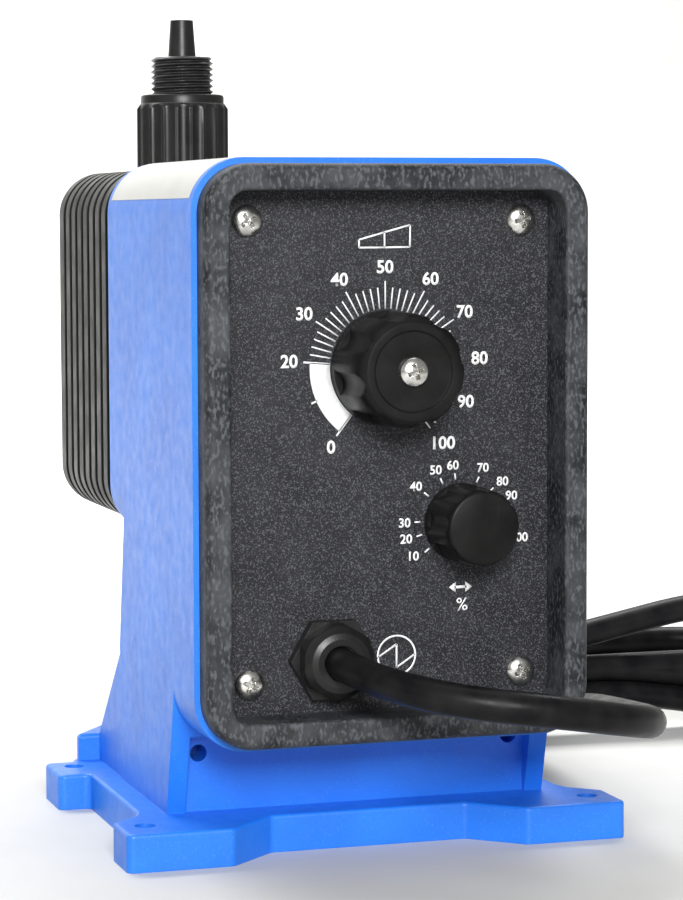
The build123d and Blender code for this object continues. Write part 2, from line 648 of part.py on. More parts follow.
with BuildPart() as stroke_stop:
    disc(0, AXIS_Z, STOP_R, STOP_FRONT, BUSHING_REAR - 2)
    disc(0, AXIS_Z, STOP_R - 1, BUSHING_REAR - 2, SPINDLE_REAR + 4)
    disc(0, AXIS_Z, STOP_ROD_R, SPINDLE_REAR + 4, SHAFT_FRONT - STOP_CLEAR - STROKE / 2)
    disc(0, AXIS_Z, SPINDLE_THREAD_R + RUNNING_GAP, STOP_FRONT, SPINDLE_REAR + 2, Mode.SUBTRACT)
keep(stroke_stop, "stroke_stop")


def scalloped_knob(x, z, base_r, face_r, front, scallop_r, bite):
    """Tapered knob on a plain skirt, with a rounded face and finger scallops round its side."""
    turned(x, z, [
        (0, front), (face_r - 1.2, front), (face_r - 0.35, front + 0.35), (face_r, front + 1.2),
        (base_r, KNOB_BACK - KNOB_SKIRT), (base_r, KNOB_BACK), (0, KNOB_BACK),
    ])
    with BuildSketch(upright(front)) as scallops:
        with Locations((x, z)):
            with PolarLocations(base_r + scallop_r - bite, SCALLOPS):
                Circle(scallop_r)
    extrude(scallops.sketch, amount=front - KNOB_BACK + KNOB_SKIRT, mode=Mode.SUBTRACT)


with BuildPart() as stroke_knob:
    scalloped_knob(
        0, AXIS_Z, STROKE_KNOB_R, STROKE_KNOB_FACE_R, STROKE_KNOB_FRONT,
        STROKE_SCALLOP_R, STROKE_SCALLOP_BITE,
    )
    # dished face with a raised rim
    turned(0, AXIS_Z, [
        (0, STROKE_KNOB_FRONT), (STROKE_KNOB_FACE_R - 2.6, STROKE_KNOB_FRONT),
        (STROKE_KNOB_FACE_R - 3.2, STROKE_KNOB_FRONT + 0.8), (0, STROKE_KNOB_FRONT + 0.8),
    ], Mode.SUBTRACT)
    disc(0, AXIS_Z, KNOB_RECESS_R, KNOB_BACK - KNOB_RECESS_DEEP, KNOB_BACK, Mode.SUBTRACT)
    disc(0, AXIS_Z, SPINDLE_R + SCREW_GAP, SPINDLE_FRONT, KNOB_BACK, Mode.SUBTRACT)
    disc(0, AXIS_Z, SCREW_R + SCREW_GAP, STROKE_KNOB_FRONT, SPINDLE_FRONT, Mode.SUBTRACT)
keep(stroke_knob, "stroke_knob")

with BuildPart() as stroke_knob_screw:
    domed_screw(
        0, AXIS_Z, KNOB_SCREW_HEAD_R, SCREW_HEAD_TALL, SCREW_R,
        STROKE_KNOB_FRONT + 0.8, SPINDLE_FRONT + 8,
    )
keep(stroke_knob_screw, "stroke_knob_screw")

# --- Rate control and circuit board --------------------------------------------------
POT_REAR = PANEL_BACK + POT_DEEP
POT_BUSH_FRONT = PANEL_DEPTH - NUT_THICK - 1.5
SHAFT_BACK = PANEL_BACK + 6
RATE_BORE_DEEP = 13.0
NUT_ACROSS = 2 * POT_BUSH_R + 3

with BuildPart() as rate_potentiometer:
    disc(RATE_X, RATE_Z, POT_R, PANEL_BACK, POT_REAR)
    disc(RATE_X, RATE_Z, POT_BUSH_R, POT_BUSH_FRONT, PANEL_BACK)
    with BuildSketch(upright(POT_REAR)):
        with Locations((RATE_X, RATE_Z - POT_R / 2)):
            Rectangle(POT_R, 1.2)
    extrude(amount=POT_REAR - BOARD_DEPTH)
    disc(RATE_X, RATE_Z, POT_SHAFT_R + RUNNING_GAP, POT_BUSH_FRONT, SHAFT_BACK + 0.5, Mode.SUBTRACT)
keep(rate_potentiometer, "rate_potentiometer")

with BuildPart() as pot_nut:
    hexagon(RATE_X, RATE_Z, NUT_ACROSS, PANEL_DEPTH - NUT_THICK, PANEL_DEPTH)
    disc(
        RATE_X, RATE_Z, POT_BUSH_R + SCREW_GAP, PANEL_DEPTH - NUT_THICK, PANEL_DEPTH,
        Mode.SUBTRACT,
    )
keep(pot_nut, "pot_nut")

with BuildPart() as pot_shaft:
    disc(RATE_X, RATE_Z, POT_SHAFT_R, KNOB_BACK - RATE_BORE_DEEP, SHAFT_BACK)
keep(pot_shaft, "pot_shaft")

with BuildPart() as rate_knob:
    scalloped_knob(
        RATE_X, RATE_Z, RATE_KNOB_R, RATE_KNOB_FACE_R, RATE_KNOB_FRONT,
        RATE_SCALLOP_R, RATE_SCALLOP_BITE,
    )
    disc(
        RATE_X, RATE_Z, NUT_ACROSS / math.sqrt(3) + 0.6, KNOB_BACK - KNOB_RECESS_DEEP, KNOB_BACK,
        Mode.SUBTRACT,
    )
    disc(
        RATE_X, RATE_Z, POT_SHAFT_R + RUNNING_GAP, KNOB_BACK - RATE_BORE_DEEP, KNOB_BACK,
        Mode.SUBTRACT,
    )
keep(rate_knob, "rate_knob")

BOARD_REAR = BOARD_DEPTH + BOARD_THICK
STANDOFFS = [
    (
        BOARD_X + sx * (BOARD_WIDE / 2 - STANDOFF_INSET),
        BOARD_Z + sz * (BOARD_TALL / 2 - STANDOFF_INSET),
    )
    for sx in (-1, 1)
    for sz in (-1, 1)
]

with BuildPart() as circuit_board:
    with BuildSketch(upright(BOARD_DEPTH)):
        with Locations((BOARD_X, BOARD_Z)):
            Rectangle(BOARD_WIDE, BOARD_TALL)
    extrude(amount=BOARD_DEPTH - BOARD_REAR)
    bars(STANDOFFS, STANDOFF_BORE_R, BOARD_DEPTH, BOARD_REAR, Mode.SUBTRACT)
keep(circuit_board, "circuit_board")

with BuildPart() as board_standoffs:
    bars(STANDOFFS, STANDOFF_R, PANEL_BACK, BOARD_DEPTH)
    bars(
        STANDOFFS, STANDOFF_BORE_R, BOARD_DEPTH - STANDOFF_BORE_DEEP, BOARD_DEPTH, Mode.SUBTRACT
    )
keep(board_standoffs, "board_standoffs")

with BuildPart() as board_screws:
    bars(STANDOFFS, STANDOFF_R, BOARD_REAR, BOARD_REAR + BOARD_SCREW_HEAD)
    bars(STANDOFFS, BOARD_SCREW_R, BOARD_DEPTH - BOARD_SCREW_LONG, BOARD_REAR)
keep(board_screws, "board_screws")

with BuildPart() as board_capacitors:
    cans = [(BOARD_X - step, BOARD_Z + CAPACITOR_RISE) for step in (CAPACITOR_STEP, 0)]
    bars(cans, CAPACITOR_R, BOARD_REAR, BOARD_REAR + CAPACITOR_TALL)
keep(board_capacitors, "board_capacitors")

with BuildPart() as board_triac:
    with BuildSketch(upright(BOARD_REAR)):
        with Locations((BOARD_X + TRIAC_X, BOARD_Z + TRIAC_RISE)):
            Rectangle(TRIAC_WIDE, TRIAC_THICK)
        with Locations((BOARD_X + TRIAC_X, BOARD_Z + TRIAC_RISE + FIN_LONG / 2)):
            with GridLocations(FIN_PITCH, 0, FINS, 1):
                Rectangle(FIN_WIDE, FIN_LONG)
    extrude(amount=-TRIAC_TALL)
keep(board_triac, "board_triac")

with BuildPart() as terminal_block:
    with BuildSketch(upright(BOARD_REAR)):
        with Locations((BOARD_X + TERMINAL_X, BOARD_Z - TERMINAL_DROP)):
            Rectangle(TERMINAL_WIDE, TERMINAL_DEEP)
    extrude(amount=-TERMINAL_TALL)
    bars(
        [
            (BOARD_X + TERMINAL_X + pole * TERMINAL_PITCH, BOARD_Z - TERMINAL_DROP)
            for pole in (-1, 0, 1)
        ],
        TERMINAL_BORE_R, BOARD_REAR + TERMINAL_TALL - TERMINAL_BORE_DEEP,
        BOARD_REAR + TERMINAL_TALL, Mode.SUBTRACT,
    )
keep(terminal_block, "terminal_block")

# --- Solenoid ---------------------------------------------------------------------
COVER_GAP = 0.2              # between pieces stacked inside the solenoid
YOKE_FRONT = SOLENOID_FRONT + 2
YOKE_REAR = CAN_REAR - POLE_DISC
YOKE_R = CAN_R - COVER_GAP
POLE_FRONT = ARMATURE_REAR + STROKE + POLE_GAP
TUBE_OUTER_R = TUBE_R + TUBE_WALL
BOBBIN_BORE_R = TUBE_OUTER_R + COVER_GAP
HEAD_TOP = AXIS_Z + HEAD_HALF
HEAD_BOTTOM = AXIS_Z - HEAD_HALF

with BuildPart() as solenoid_gasket:
    plate(
        SOLENOID_HALF_WIDTH, SOLENOID_BOTTOM, SOLENOID_TOP, SOLENOID_CORNER,
        HOUSING_REAR, SOLENOID_FRONT,
    )
    disc(0, AXIS_Z, CAN_R / 2, HOUSING_REAR, SOLENOID_FRONT, Mode.SUBTRACT)
    bars(SOLENOID_SCREWS, SCREW_R + SCREW_GAP, HOUSING_REAR, SOLENOID_FRONT, Mode.SUBTRACT)
keep(solenoid_gasket, "solenoid_gasket")

with BuildPart() as solenoid_housing:
    plate(
        SOLENOID_HALF_WIDTH, SOLENOID_BOTTOM, SOLENOID_TOP, SOLENOID_CORNER,
        SOLENOID_FRONT, SOLENOID_REAR,
    )
    fillet(solenoid_housing.faces().sort_by(Axis.Y)[-1].edges(), radius=REAR_ROUND)
    # cooling grooves right round the moulding
    for groove in range(GROOVES):
        groove_front = SOLENOID_FRONT + FLANGE_LAND + groove * GROOVE_PITCH
        with BuildSketch(upright(groove_front)) as ring:
            with Locations((0, (SOLENOID_BOTTOM + SOLENOID_TOP) / 2)):
                tall = SOLENOID_TOP - SOLENOID_BOTTOM
                Rectangle(2 * SOLENOID_HALF_WIDTH + 2, tall + 2)
                RectangleRounded(
                    2 * (SOLENOID_HALF_WIDTH - GROOVE_DEEP), tall - 2 * GROOVE_DEEP,
                    SOLENOID_CORNER - GROOVE_DEEP, mode=Mode.SUBTRACT,
                )
        extrude(amount=-GROOVE_WIDE, mode=Mode.SUBTRACT)
    disc(0, AXIS_Z, CAN_R, SOLENOID_FRONT, CAN_REAR, Mode.SUBTRACT)
    disc(0, AXIS_Z, BUSH_R + 1, CAN_REAR, SOLENOID_REAR, Mode.SUBTRACT)
    bars(
        SOLENOID_SCREWS, SCREW_R + SCREW_GAP, SOLENOID_FRONT,
        SOLENOID_FRONT + SOLENOID_SCREW_REACH + 1, Mode.SUBTRACT,
    )
    bars(
        HEAD_SCREWS, HEAD_SCREW_R + SCREW_GAP, HEAD_SCREW_TIP - 0.5, SOLENOID_REAR,
        Mode.SUBTRACT,
    )
keep(solenoid_housing, "solenoid_housing")

with BuildPart() as solenoid_screws:
    for screw_x, screw_z in SOLENOID_SCREWS:
        domed_screw(
            screw_x, screw_z, SCREW_HEAD_R, SCREW_HEAD_TALL, SCREW_R,
            HOUSING_REAR - BULKHEAD, SOLENOID_FRONT + SOLENOID_SCREW_REACH,
        )
keep(solenoid_screws, "solenoid_screws")

with BuildPart() as yoke:
    disc(0, AXIS_Z, YOKE_R, YOKE_FRONT, YOKE_REAR)
    disc(0, AXIS_Z, YOKE_R - YOKE_WALL, YOKE_FRONT + YOKE_WALL, YOKE_REAR, Mode.SUBTRACT)
    disc(0, AXIS_Z, BOBBIN_BORE_R, YOKE_FRONT, YOKE_FRONT + YOKE_WALL, Mode.SUBTRACT)
keep(yoke, "yoke")

with BuildPart() as guide_tube:
    disc(0, AXIS_Z, TUBE_OUTER_R, YOKE_FRONT, YOKE_REAR)
    disc(0, AXIS_Z, TUBE_R, YOKE_FRONT, YOKE_REAR, Mode.SUBTRACT)
keep(guide_tube, "guide_tube")

with BuildPart() as coil_bobbin:
    disc(0, AXIS_Z, COIL_R + 0.5, BOBBIN_FRONT, BOBBIN_FRONT + BOBBIN_FLANGE)
    disc(0, AXIS_Z, BOBBIN_BORE_R + BOBBIN_WALL, BOBBIN_FRONT, BOBBIN_REAR)
    disc(0, AXIS_Z, COIL_R + 0.5, BOBBIN_REAR - BOBBIN_FLANGE, BOBBIN_REAR)
    disc(0, AXIS_Z, BOBBIN_BORE_R, BOBBIN_FRONT, BOBBIN_REAR, Mode.SUBTRACT)
keep(coil_bobbin, "coil_bobbin")

with BuildPart() as solenoid_coil:
    coil_front = BOBBIN_FRONT + BOBBIN_FLANGE + COVER_GAP
    coil_rear = BOBBIN_REAR - BOBBIN_FLANGE - COVER_GAP
    disc(0, AXIS_Z, COIL_R, coil_front, coil_rear)
    disc(
        0, AXIS_Z, BOBBIN_BORE_R + BOBBIN_WALL + COVER_GAP, coil_front, coil_rear, Mode.SUBTRACT
    )
keep(solenoid_coil, "solenoid_coil")

with BuildPart() as pole_piece:
    disc(0, AXIS_Z, TUBE_R - COVER_GAP, POLE_FRONT, YOKE_REAR)
    disc(0, AXIS_Z, YOKE_R, YOKE_REAR, CAN_REAR)
    disc(0, AXIS_Z, BUSH_R + RUNNING_GAP, POLE_FRONT, CAN_REAR, Mode.SUBTRACT)
keep(pole_piece, "pole_piece")

with BuildPart() as shaft_bushings:
    for bush_front in (POLE_FRONT + 1, CAN_REAR - BUSH_LONG - 1):
        disc(0, AXIS_Z, BUSH_R, bush_front, bush_front + BUSH_LONG)
        disc(
            0, AXIS_Z, SHAFT_R + RUNNING_GAP, bush_front, bush_front + BUSH_LONG, Mode.SUBTRACT
        )
keep(shaft_bushings, "shaft_bushings")

with BuildPart() as armature:
    disc(0, AXIS_Z, TUBE_R - RUNNING_GAP, ARMATURE_FRONT, ARMATURE_REAR)
    disc(0, AXIS_Z, SHAFT_R + RUNNING_GAP, ARMATURE_FRONT, ARMATURE_REAR, Mode.SUBTRACT)
    disc(
        0, AXIS_Z, SPRING_R + SPRING_WIRE_R + STOP_CLEAR, ARMATURE_REAR - SPRING_POCKET,
        ARMATURE_REAR, Mode.SUBTRACT,
    )
keep(armature, "armature")

with BuildPart() as armature_shaft:
    disc(0, AXIS_Z, SHAFT_R, SHAFT_FRONT, SHAFT_REAR)
    disc(0, AXIS_Z, STUD_R + RUNNING_GAP, SHAFT_REAR - STUD_LONG - 1, SHAFT_REAR, Mode.SUBTRACT)
keep(armature_shaft, "armature_shaft")

with BuildPart() as return_spring:
    spring_front = ARMATURE_REAR - SPRING_POCKET + SPRING_WIRE_R + BALL_GAP
    spring_long = POLE_FRONT - SPRING_WIRE_R - BALL_GAP - spring_front
    with BuildLine():
        coil_line = Helix(
            pitch=spring_long / SPRING_TURNS,
            height=spring_long,
            radius=SPRING_R,
            center=(0, y_at(spring_front), AXIS_Z),
            direction=(0, 1, 0),
        )
    with BuildSketch(Plane(coil_line @ 0, z_dir=coil_line % 0)):
        Circle(SPRING_WIRE_R)
    sweep()
keep(return_spring, "return_spring")

# --- Liquid end --------------------------------------------------------------------
DIAPHRAGM_FRONT = ADAPTER_REAR - DIAPHRAGM_THICK

with BuildPart() as head_adapter:
    plate(
        ADAPTER_HALF, AXIS_Z - ADAPTER_HALF, AXIS_Z + ADAPTER_HALF, HEAD_CORNER,
        SOLENOID_REAR, ADAPTER_REAR,
    )
    disc(0, AXIS_Z, ADAPTER_BORE_R, SOLENOID_REAR, ADAPTER_REAR, Mode.SUBTRACT)
    disc(0, AXIS_Z, DIAPHRAGM_R + COVER_GAP, DIAPHRAGM_FRONT, ADAPTER_REAR, Mode.SUBTRACT)
    bars(HEAD_SCREWS, HEAD_SCREW_R + SCREW_GAP, SOLENOID_REAR, ADAPTER_REAR, Mode.SUBTRACT)
    # weep hole, so that a split diaphragm shows
    with BuildSketch(Plane.XY.offset(AXIS_Z - ADAPTER_HALF)):
        with Locations((0, y_at(SOLENOID_REAR + ADAPTER_THICK / 2 - 1))):
            Circle(WEEP_R)
    extrude(amount=ADAPTER_HALF - ADAPTER_BORE_R + 1, mode=Mode.SUBTRACT)
keep(head_adapter, "head_adapter")

with BuildPart() as diaphragm:
    turned(0, AXIS_Z, [
        (0, DIAPHRAGM_FRONT), (DIAPHRAGM_R, DIAPHRAGM_FRONT), (DIAPHRAGM_R, ADAPTER_REAR),
        (DIAPHRAGM_R - 8, ADAPTER_REAR), (DIAPHRAGM_R - 12, ADAPTER_REAR - 1),
        (INSERT_R + 6, ADAPTER_REAR - 1), (INSERT_R, ADAPTER_REAR), (0, ADAPTER_REAR),
    ])
keep(diaphragm, "diaphragm")

with BuildPart() as diaphragm_insert:
    insert_rear = DIAPHRAGM_FRONT - BALL_GAP
    disc(0, AXIS_Z, INSERT_R, insert_rear - INSERT_THICK, insert_rear)
    disc(0, AXIS_Z, STUD_R, SHAFT_REAR - STUD_LONG, insert_rear - INSERT_THICK)
keep(diaphragm_insert, "diaphragm_insert")

with BuildPart() as pump_head:
    plate(HEAD_HALF, HEAD_BOTTOM, HEAD_TOP, HEAD_CORNER, HEAD_FRONT, FLANGE_REAR)
    fillet(pump_head.faces().sort_by(Axis.Y)[-1].edges(), radius=2)
    # valve column across the back of the head
    with BuildSketch(Plane.XY.offset(HEAD_BOTTOM)):
        with Locations((0, y_at(PORT_DEPTH))):
            Circle(PORT_BOSS_R)
        with Locations((0, y_at((HEAD_FRONT + 4 + PORT_DEPTH) / 2))):
            Rectangle(2 * PORT_BOSS_R, PORT_DEPTH - HEAD_FRONT - 4)
    extrude(amount=2 * HEAD_HALF)
    turned(0, AXIS_Z, [
        (0, HEAD_FRONT), (DISPLACEMENT_R, HEAD_FRONT),
        (DISPLACEMENT_R / 2, HEAD_FRONT + DISPLACEMENT_DEEP), (0, HEAD_FRONT + DISPLACEMENT_DEEP),
    ], Mode.SUBTRACT)
    disc(0, AXIS_Z, PASSAGE_R, HEAD_FRONT, PORT_DEPTH, Mode.SUBTRACT)
    bars(HEAD_SCREWS, HEAD_SCREW_R + SCREW_GAP, HEAD_FRONT, FLANGE_REAR, Mode.SUBTRACT)
    upright_turned(PORT_DEPTH, [
        (0, HEAD_TOP), (SEAL_R + SCREW_GAP, HEAD_TOP), (SEAL_R + SCREW_GAP, HEAD_TOP - SEAL_TALL),
        (SHANK_R + SCREW_GAP, HEAD_TOP - SEAL_TALL), (SHANK_R + SCREW_GAP, HEAD_TOP - SHANK_TALL),
        (PASSAGE_R, HEAD_TOP - SHANK_TALL), (PASSAGE_R, HEAD_BOTTOM + SHANK_TALL),
        (SHANK_R + SCREW_GAP, HEAD_BOTTOM + SHANK_TALL),
        (SHANK_R + SCREW_GAP, HEAD_BOTTOM + SEAL_TALL),
        (SEAL_R + SCREW_GAP, HEAD_BOTTOM + SEAL_TALL), (SEAL_R + SCREW_GAP, HEAD_BOTTOM),
        (0, HEAD_BOTTOM),
    ], Mode.SUBTRACT)
keep(pump_head, "pump_head")

with BuildPart() as port_seals:
    for seal_base in (HEAD_TOP - SEAL_TALL, HEAD_BOTTOM):
        upright_turned(PORT_DEPTH, [
            (SHANK_R + SCREW_GAP, seal_base), (SEAL_R, seal_base),
            (SEAL_R, seal_base + SEAL_TALL), (SHANK_R + SCREW_GAP, seal_base + SEAL_TALL),
        ])
keep(port_seals, "port_seals")

with BuildPart() as head_washers:
    bars(HEAD_SCREWS, HEAD_WASHER_R, FLANGE_REAR, FLANGE_REAR + HEAD_WASHER)
    bars(
        HEAD_SCREWS, HEAD_SCREW_R + SCREW_GAP, FLANGE_REAR, FLANGE_REAR + HEAD_WASHER,
        Mode.SUBTRACT,
    )
keep(head_washers, "head_washers")

with BuildPart() as head_screws:
    seat = FLANGE_REAR + HEAD_WASHER
    bars(HEAD_SCREWS, HEAD_SCREW_R, HEAD_SCREW_TIP, seat)
    bars(HEAD_SCREWS, HEAD_CAP_R, seat, seat + HEAD_CAP_TALL)
    with BuildSketch(upright(seat + HEAD_CAP_TALL - SOCKET_DEEP)) as sockets:
        with Locations(*HEAD_SCREWS):
            RegularPolygon(SOCKET_ACROSS / 2, 6, major_radius=False)
    extrude(sockets.sketch, amount=-SOCKET_DEEP, mode=Mode.SUBTRACT)
keep(head_screws, "head_screws")

# Valve cartridges. Both valves open upwards; only their outsides are mirrored.
BALL_SEAT_RISE = math.sqrt(BALL_R**2 - SEAT_BORE_R**2)
ROOF_RISE = BALL_SEAT_RISE + BALL_GAP + BALL_R + BALL_LIFT + STOP_CLEAR
STACK_TALL = SEAT_TALL + ROOF_RISE + GUIDE_ROOF
DISCHARGE_STACK = HEAD_TOP - SHANK_TALL
SUCTION_STACK = HEAD_BOTTOM + SHANK_TALL - STACK_TALL


def valve_body(side, stack):
    """Fluted cartridge outside the head on one side (+1 up, -1 down) of the drive axis."""
    def out(height):
        return AXIS_Z + side * (HEAD_HALF + height)
    body_end = CARTRIDGE_TALL
    collar_end = body_end + COLLAR_TALL
    thread_end = collar_end + THREAD_TALL
    with BuildPart() as body:
        upright_turned(PORT_DEPTH, [
            (0, out(-SHANK_TALL)), (SHANK_R, out(-SHANK_TALL)), (SHANK_R, out(0)),
            (CARTRIDGE_R, out(0)), (CARTRIDGE_R, out(body_end - 2)),
            (CARTRIDGE_R - 1.4, out(body_end)), (COLLAR_R, out(body_end)),
            (COLLAR_R, out(collar_end - 1)), (COLLAR_R - 1, out(collar_end)),
            (THREAD_R, out(collar_end)), (THREAD_R, out(thread_end - 1)),
            (THREAD_R - 1, out(thread_end)), (0, out(thread_end)),
        ])
        with BuildSketch(Plane.XY.offset(min(out(0), out(body_end)))) as grooves:
            with Locations((0, y_at(PORT_DEPTH))):
                with PolarLocations(CARTRIDGE_R + FLUTE_R / 2, FLUTES):
                    Circle(FLUTE_R)
        extrude(grooves.sketch, amount=body_end, mode=Mode.SUBTRACT)
        pocket_end = stack + STACK_TALL if side > 0 else HEAD_BOTTOM + SHANK_TALL
        pocket_start = out(-SHANK_TALL) if side > 0 else stack
        upright_turned(PORT_DEPTH, [
            (0, pocket_start), (SEAT_R + COVER_GAP, pocket_start),
            (SEAT_R + COVER_GAP, pocket_end), (0, pocket_end),
        ], Mode.SUBTRACT)
        low, high = sorted((out(-SHANK_TALL), out(thread_end)))
        upright_turned(PORT_DEPTH, [(0, low), (OUTLET_R, low), (OUTLET_R, high), (0, high)],
                       Mode.SUBTRACT)
        low, high = sorted((out(thread_end - NOZZLE_FLANGE), out(thread_end)))
        upright_turned(PORT_DEPTH, [
            (0, low), (NOZZLE_FLANGE_R + SCREW_GAP, low), (NOZZLE_FLANGE_R + SCREW_GAP, high),
            (0, high),
        ], Mode.SUBTRACT)
    return body


def valve_nozzle(side):
    """Tapered tubing connector that seats in the end of a cartridge."""
    def out(height):
        return AXIS_Z + side * (HEAD_HALF + CARTRIDGE_TALL + COLLAR_TALL + THREAD_TALL + height)
    with BuildPart() as nozzle:
        upright_turned(PORT_DEPTH, [
            (NOZZLE_BORE_R, out(-NOZZLE_FLANGE)), (NOZZLE_FLANGE_R, out(-NOZZLE_FLANGE)),
            (NOZZLE_FLANGE_R, out(0)), (NOZZLE_ROOT_R, out(0)),
            (NOZZLE_TIP_R, out(NOZZLE_TALL)), (NOZZLE_BORE_R, out(NOZZLE_TALL)),
        ])
    return nozzle


def valve_seat(stack):
    """Ring that the ball closes on."""
    with BuildPart() as seat_ring:
        upright_turned(PORT_DEPTH, [
            (SEAT_BORE_R, stack), (SEAT_R, stack), (SEAT_R, stack + SEAT_TALL),
            (SEAT_BORE_R, stack + SEAT_TALL),
        ])
    return seat_ring


def valve_ball(stack):
    """Ball, resting on the seat."""
    with BuildPart() as ball:
        with Locations((0, y_at(PORT_DEPTH), stack + SEAT_TALL + BALL_SEAT_RISE + BALL_GAP)):
            Sphere(BALL_R)
    return ball


def valve_guide(stack):
    """Cage above the seat: guides the ball and stops its lift, with a slot for the flow."""
    base = stack + SEAT_TALL
    with BuildPart() as guide:
        upright_turned(PORT_DEPTH, [
            (0, base), (SEAT_R, base), (SEAT_R, base + ROOF_RISE + GUIDE_ROOF),
            (0, base + ROOF_RISE + GUIDE_ROOF),
        ])
        upright_turned(PORT_DEPTH, [
            (0, base), (GUIDE_BORE_R, base), (GUIDE_BORE_R, base + ROOF_RISE),
            (0, base + ROOF_RISE),
        ], Mode.SUBTRACT)
        with BuildSketch(Plane.XY.offset(base + ROOF_RISE)) as slot:
            with Locations((0, y_at(PORT_DEPTH))):
                SlotOverall(2 * GUIDE_BORE_R + 3, 3)
        extrude(slot.sketch, amount=GUIDE_ROOF, mode=Mode.SUBTRACT)
    return guide


for name, side, stack in (("discharge", 1, DISCHARGE_STACK), ("suction", -1, SUCTION_STACK)):
    keep(valve_body(side, stack), f"{name}_valve_body")
    keep(valve_nozzle(side), f"{name}_nozzle")
    keep(valve_seat(stack), f"{name}_seat")
    keep(valve_ball(stack), f"{name}_ball")
    keep(valve_guide(stack), f"{name}_guide")

# --- Mains cord ---------------------------------------------------------------------
# Points are (x, depth, z): out of the gland, round in front of the bezel, back along
# the pump's right side to the floor, and into the hank behind.
CORD_ROUTE = [
    (GLAND_X, 12.0, GLAND_Z),
    (GLAND_X, -17.9, 64.5),
    (0.2, -43.7, 60.5),
    (30.5, -53.5, 57.0),
    (60.8, -43.7, 51.0),
    (79.5, -17.9, 45.0),
    (84.0, 24.0, 41.0),
    (90.0, 67.0, 36.0),
    (97.0, 110.0, 26.0),
    (101.0, 152.0, 14.0),
    (102.0, 190.0, 6.6),
    (HANK_LEFT - HANK_FOLD_R, 228.0, CORD_R),
]
HANK_TOP_Z = CORD_D * (HANK_LAYERS - 0.5)
TAIL_ROUTE = [
    (137.0, HANK_DEPTH - HANK_FOLD_R, HANK_TOP_Z + 1.6),
    (109.0, HANK_DEPTH - HANK_FOLD_R - 1, HANK_TOP_Z - 0.4),
    (82.0, HANK_DEPTH - HANK_FOLD_R - 4, 26.0),
    (56.0, HANK_DEPTH - HANK_FOLD_R - 7, 16.0),
    (32.0, HANK_DEPTH - HANK_FOLD_R - 8, PLUG_R),
]


def cord_tube(route):
    """Round cord along a route, with each corner as wide as its two runs allow."""
    points = [Vector(x, y_at(depth), z) for x, depth, z in route]
    radii = []
    for before, corner, after in zip(points, points[1:], points[2:]):
        turn = (corner - before).get_angle(after - corner)
        run = min((corner - before).length, (after - corner).length)
        radii.append(0.45 * run / math.tan(math.radians(turn / 2)))
    with BuildPart() as tube:
        with BuildLine():
            centre_line = FilletPolyline(*points, radius=radii)
        with BuildSketch(Plane(centre_line @ 0, z_dir=centre_line % 0)):
            Circle(CORD_R)
        sweep()
    ratio = tube.part.volume / (math.pi * CORD_R**2 * centre_line.length)
    print("cord length", round(centre_line.length, 1), "volume ratio", round(ratio, 4))
    print("radii", [round(radius, 1) for radius in radii])
    return tube


keep(cord_tube(CORD_ROUTE), "power_cord")
keep(cord_tube(TAIL_ROUTE), "cord_tail")

# Hank: the outside of its turns, level on the floor, with the loose top turn rising.
HANK_WALL = CORD_R + HANK_SLACK
with BuildPart() as cord_hank:
    with BuildSketch() as hank_plan:
        with Locations(((HANK_LEFT + HANK_RIGHT) / 2, y_at(HANK_DEPTH))):
            span = HANK_RIGHT - HANK_LEFT
            SlotCenterToCenter(span, 2 * (HANK_FOLD_R + HANK_WALL))
            SlotCenterToCenter(span, 2 * (HANK_FOLD_R - HANK_WALL), mode=Mode.SUBTRACT)
    extrude(amount=HANK_LAYERS * CORD_D + HANK_LIFT)
    with BuildSketch(Plane.XZ.offset(-y_at(HANK_DEPTH - HANK_FOLD_R - HANK_WALL))):
        with BuildLine():
            left = HANK_LEFT - HANK_FOLD_R - HANK_WALL
            right = HANK_RIGHT + HANK_FOLD_R + HANK_WALL
            Polyline(
                (left, 0), (right, 0), (right, HANK_LAYERS * CORD_D + HANK_LIFT),
                (HANK_RIGHT, HANK_LAYERS * CORD_D + HANK_LIFT),
                (HANK_LEFT, HANK_LAYERS * CORD_D), (left, HANK_LAYERS * CORD_D), close=True,
            )
        make_face()
    extrude(amount=-2 * (HANK_FOLD_R + HANK_WALL), mode=Mode.INTERSECT)
keep(cord_hank, "cord_hank")
turn_length = 2 * (HANK_RIGHT - HANK_LEFT) + 2 * math.pi * HANK_FOLD_R
print("hank turn", round(turn_length, 1))

# Plug on the floor at the end of the tail, pointing away from the hank.
PLUG_X = TAIL_ROUTE[-1][0]
PLUG_Y = y_at(TAIL_ROUTE[-1][1])
with BuildPart() as power_plug:
    with BuildSketch(Plane.XZ.offset(-PLUG_Y)) as plug_profile:
        with BuildLine():
            Polyline(
                (PLUG_X, PLUG_R), (PLUG_X, PLUG_R + CORD_R + 1),
                (PLUG_X - PLUG_RELIEF, PLUG_R + CORD_R + 3),
                (PLUG_X - PLUG_RELIEF - 4, 2 * PLUG_R - 1.5),
                (PLUG_X - PLUG_RELIEF - 8, 2 * PLUG_R),
                (PLUG_X - PLUG_RELIEF - PLUG_LONG, 2 * PLUG_R),
                (PLUG_X - PLUG_RELIEF - PLUG_LONG, PLUG_R), close=True,
            )
        make_face()
    revolve(axis=Axis((0, PLUG_Y, PLUG_R), (1, 0, 0)))
keep(power_plug, "power_plug")

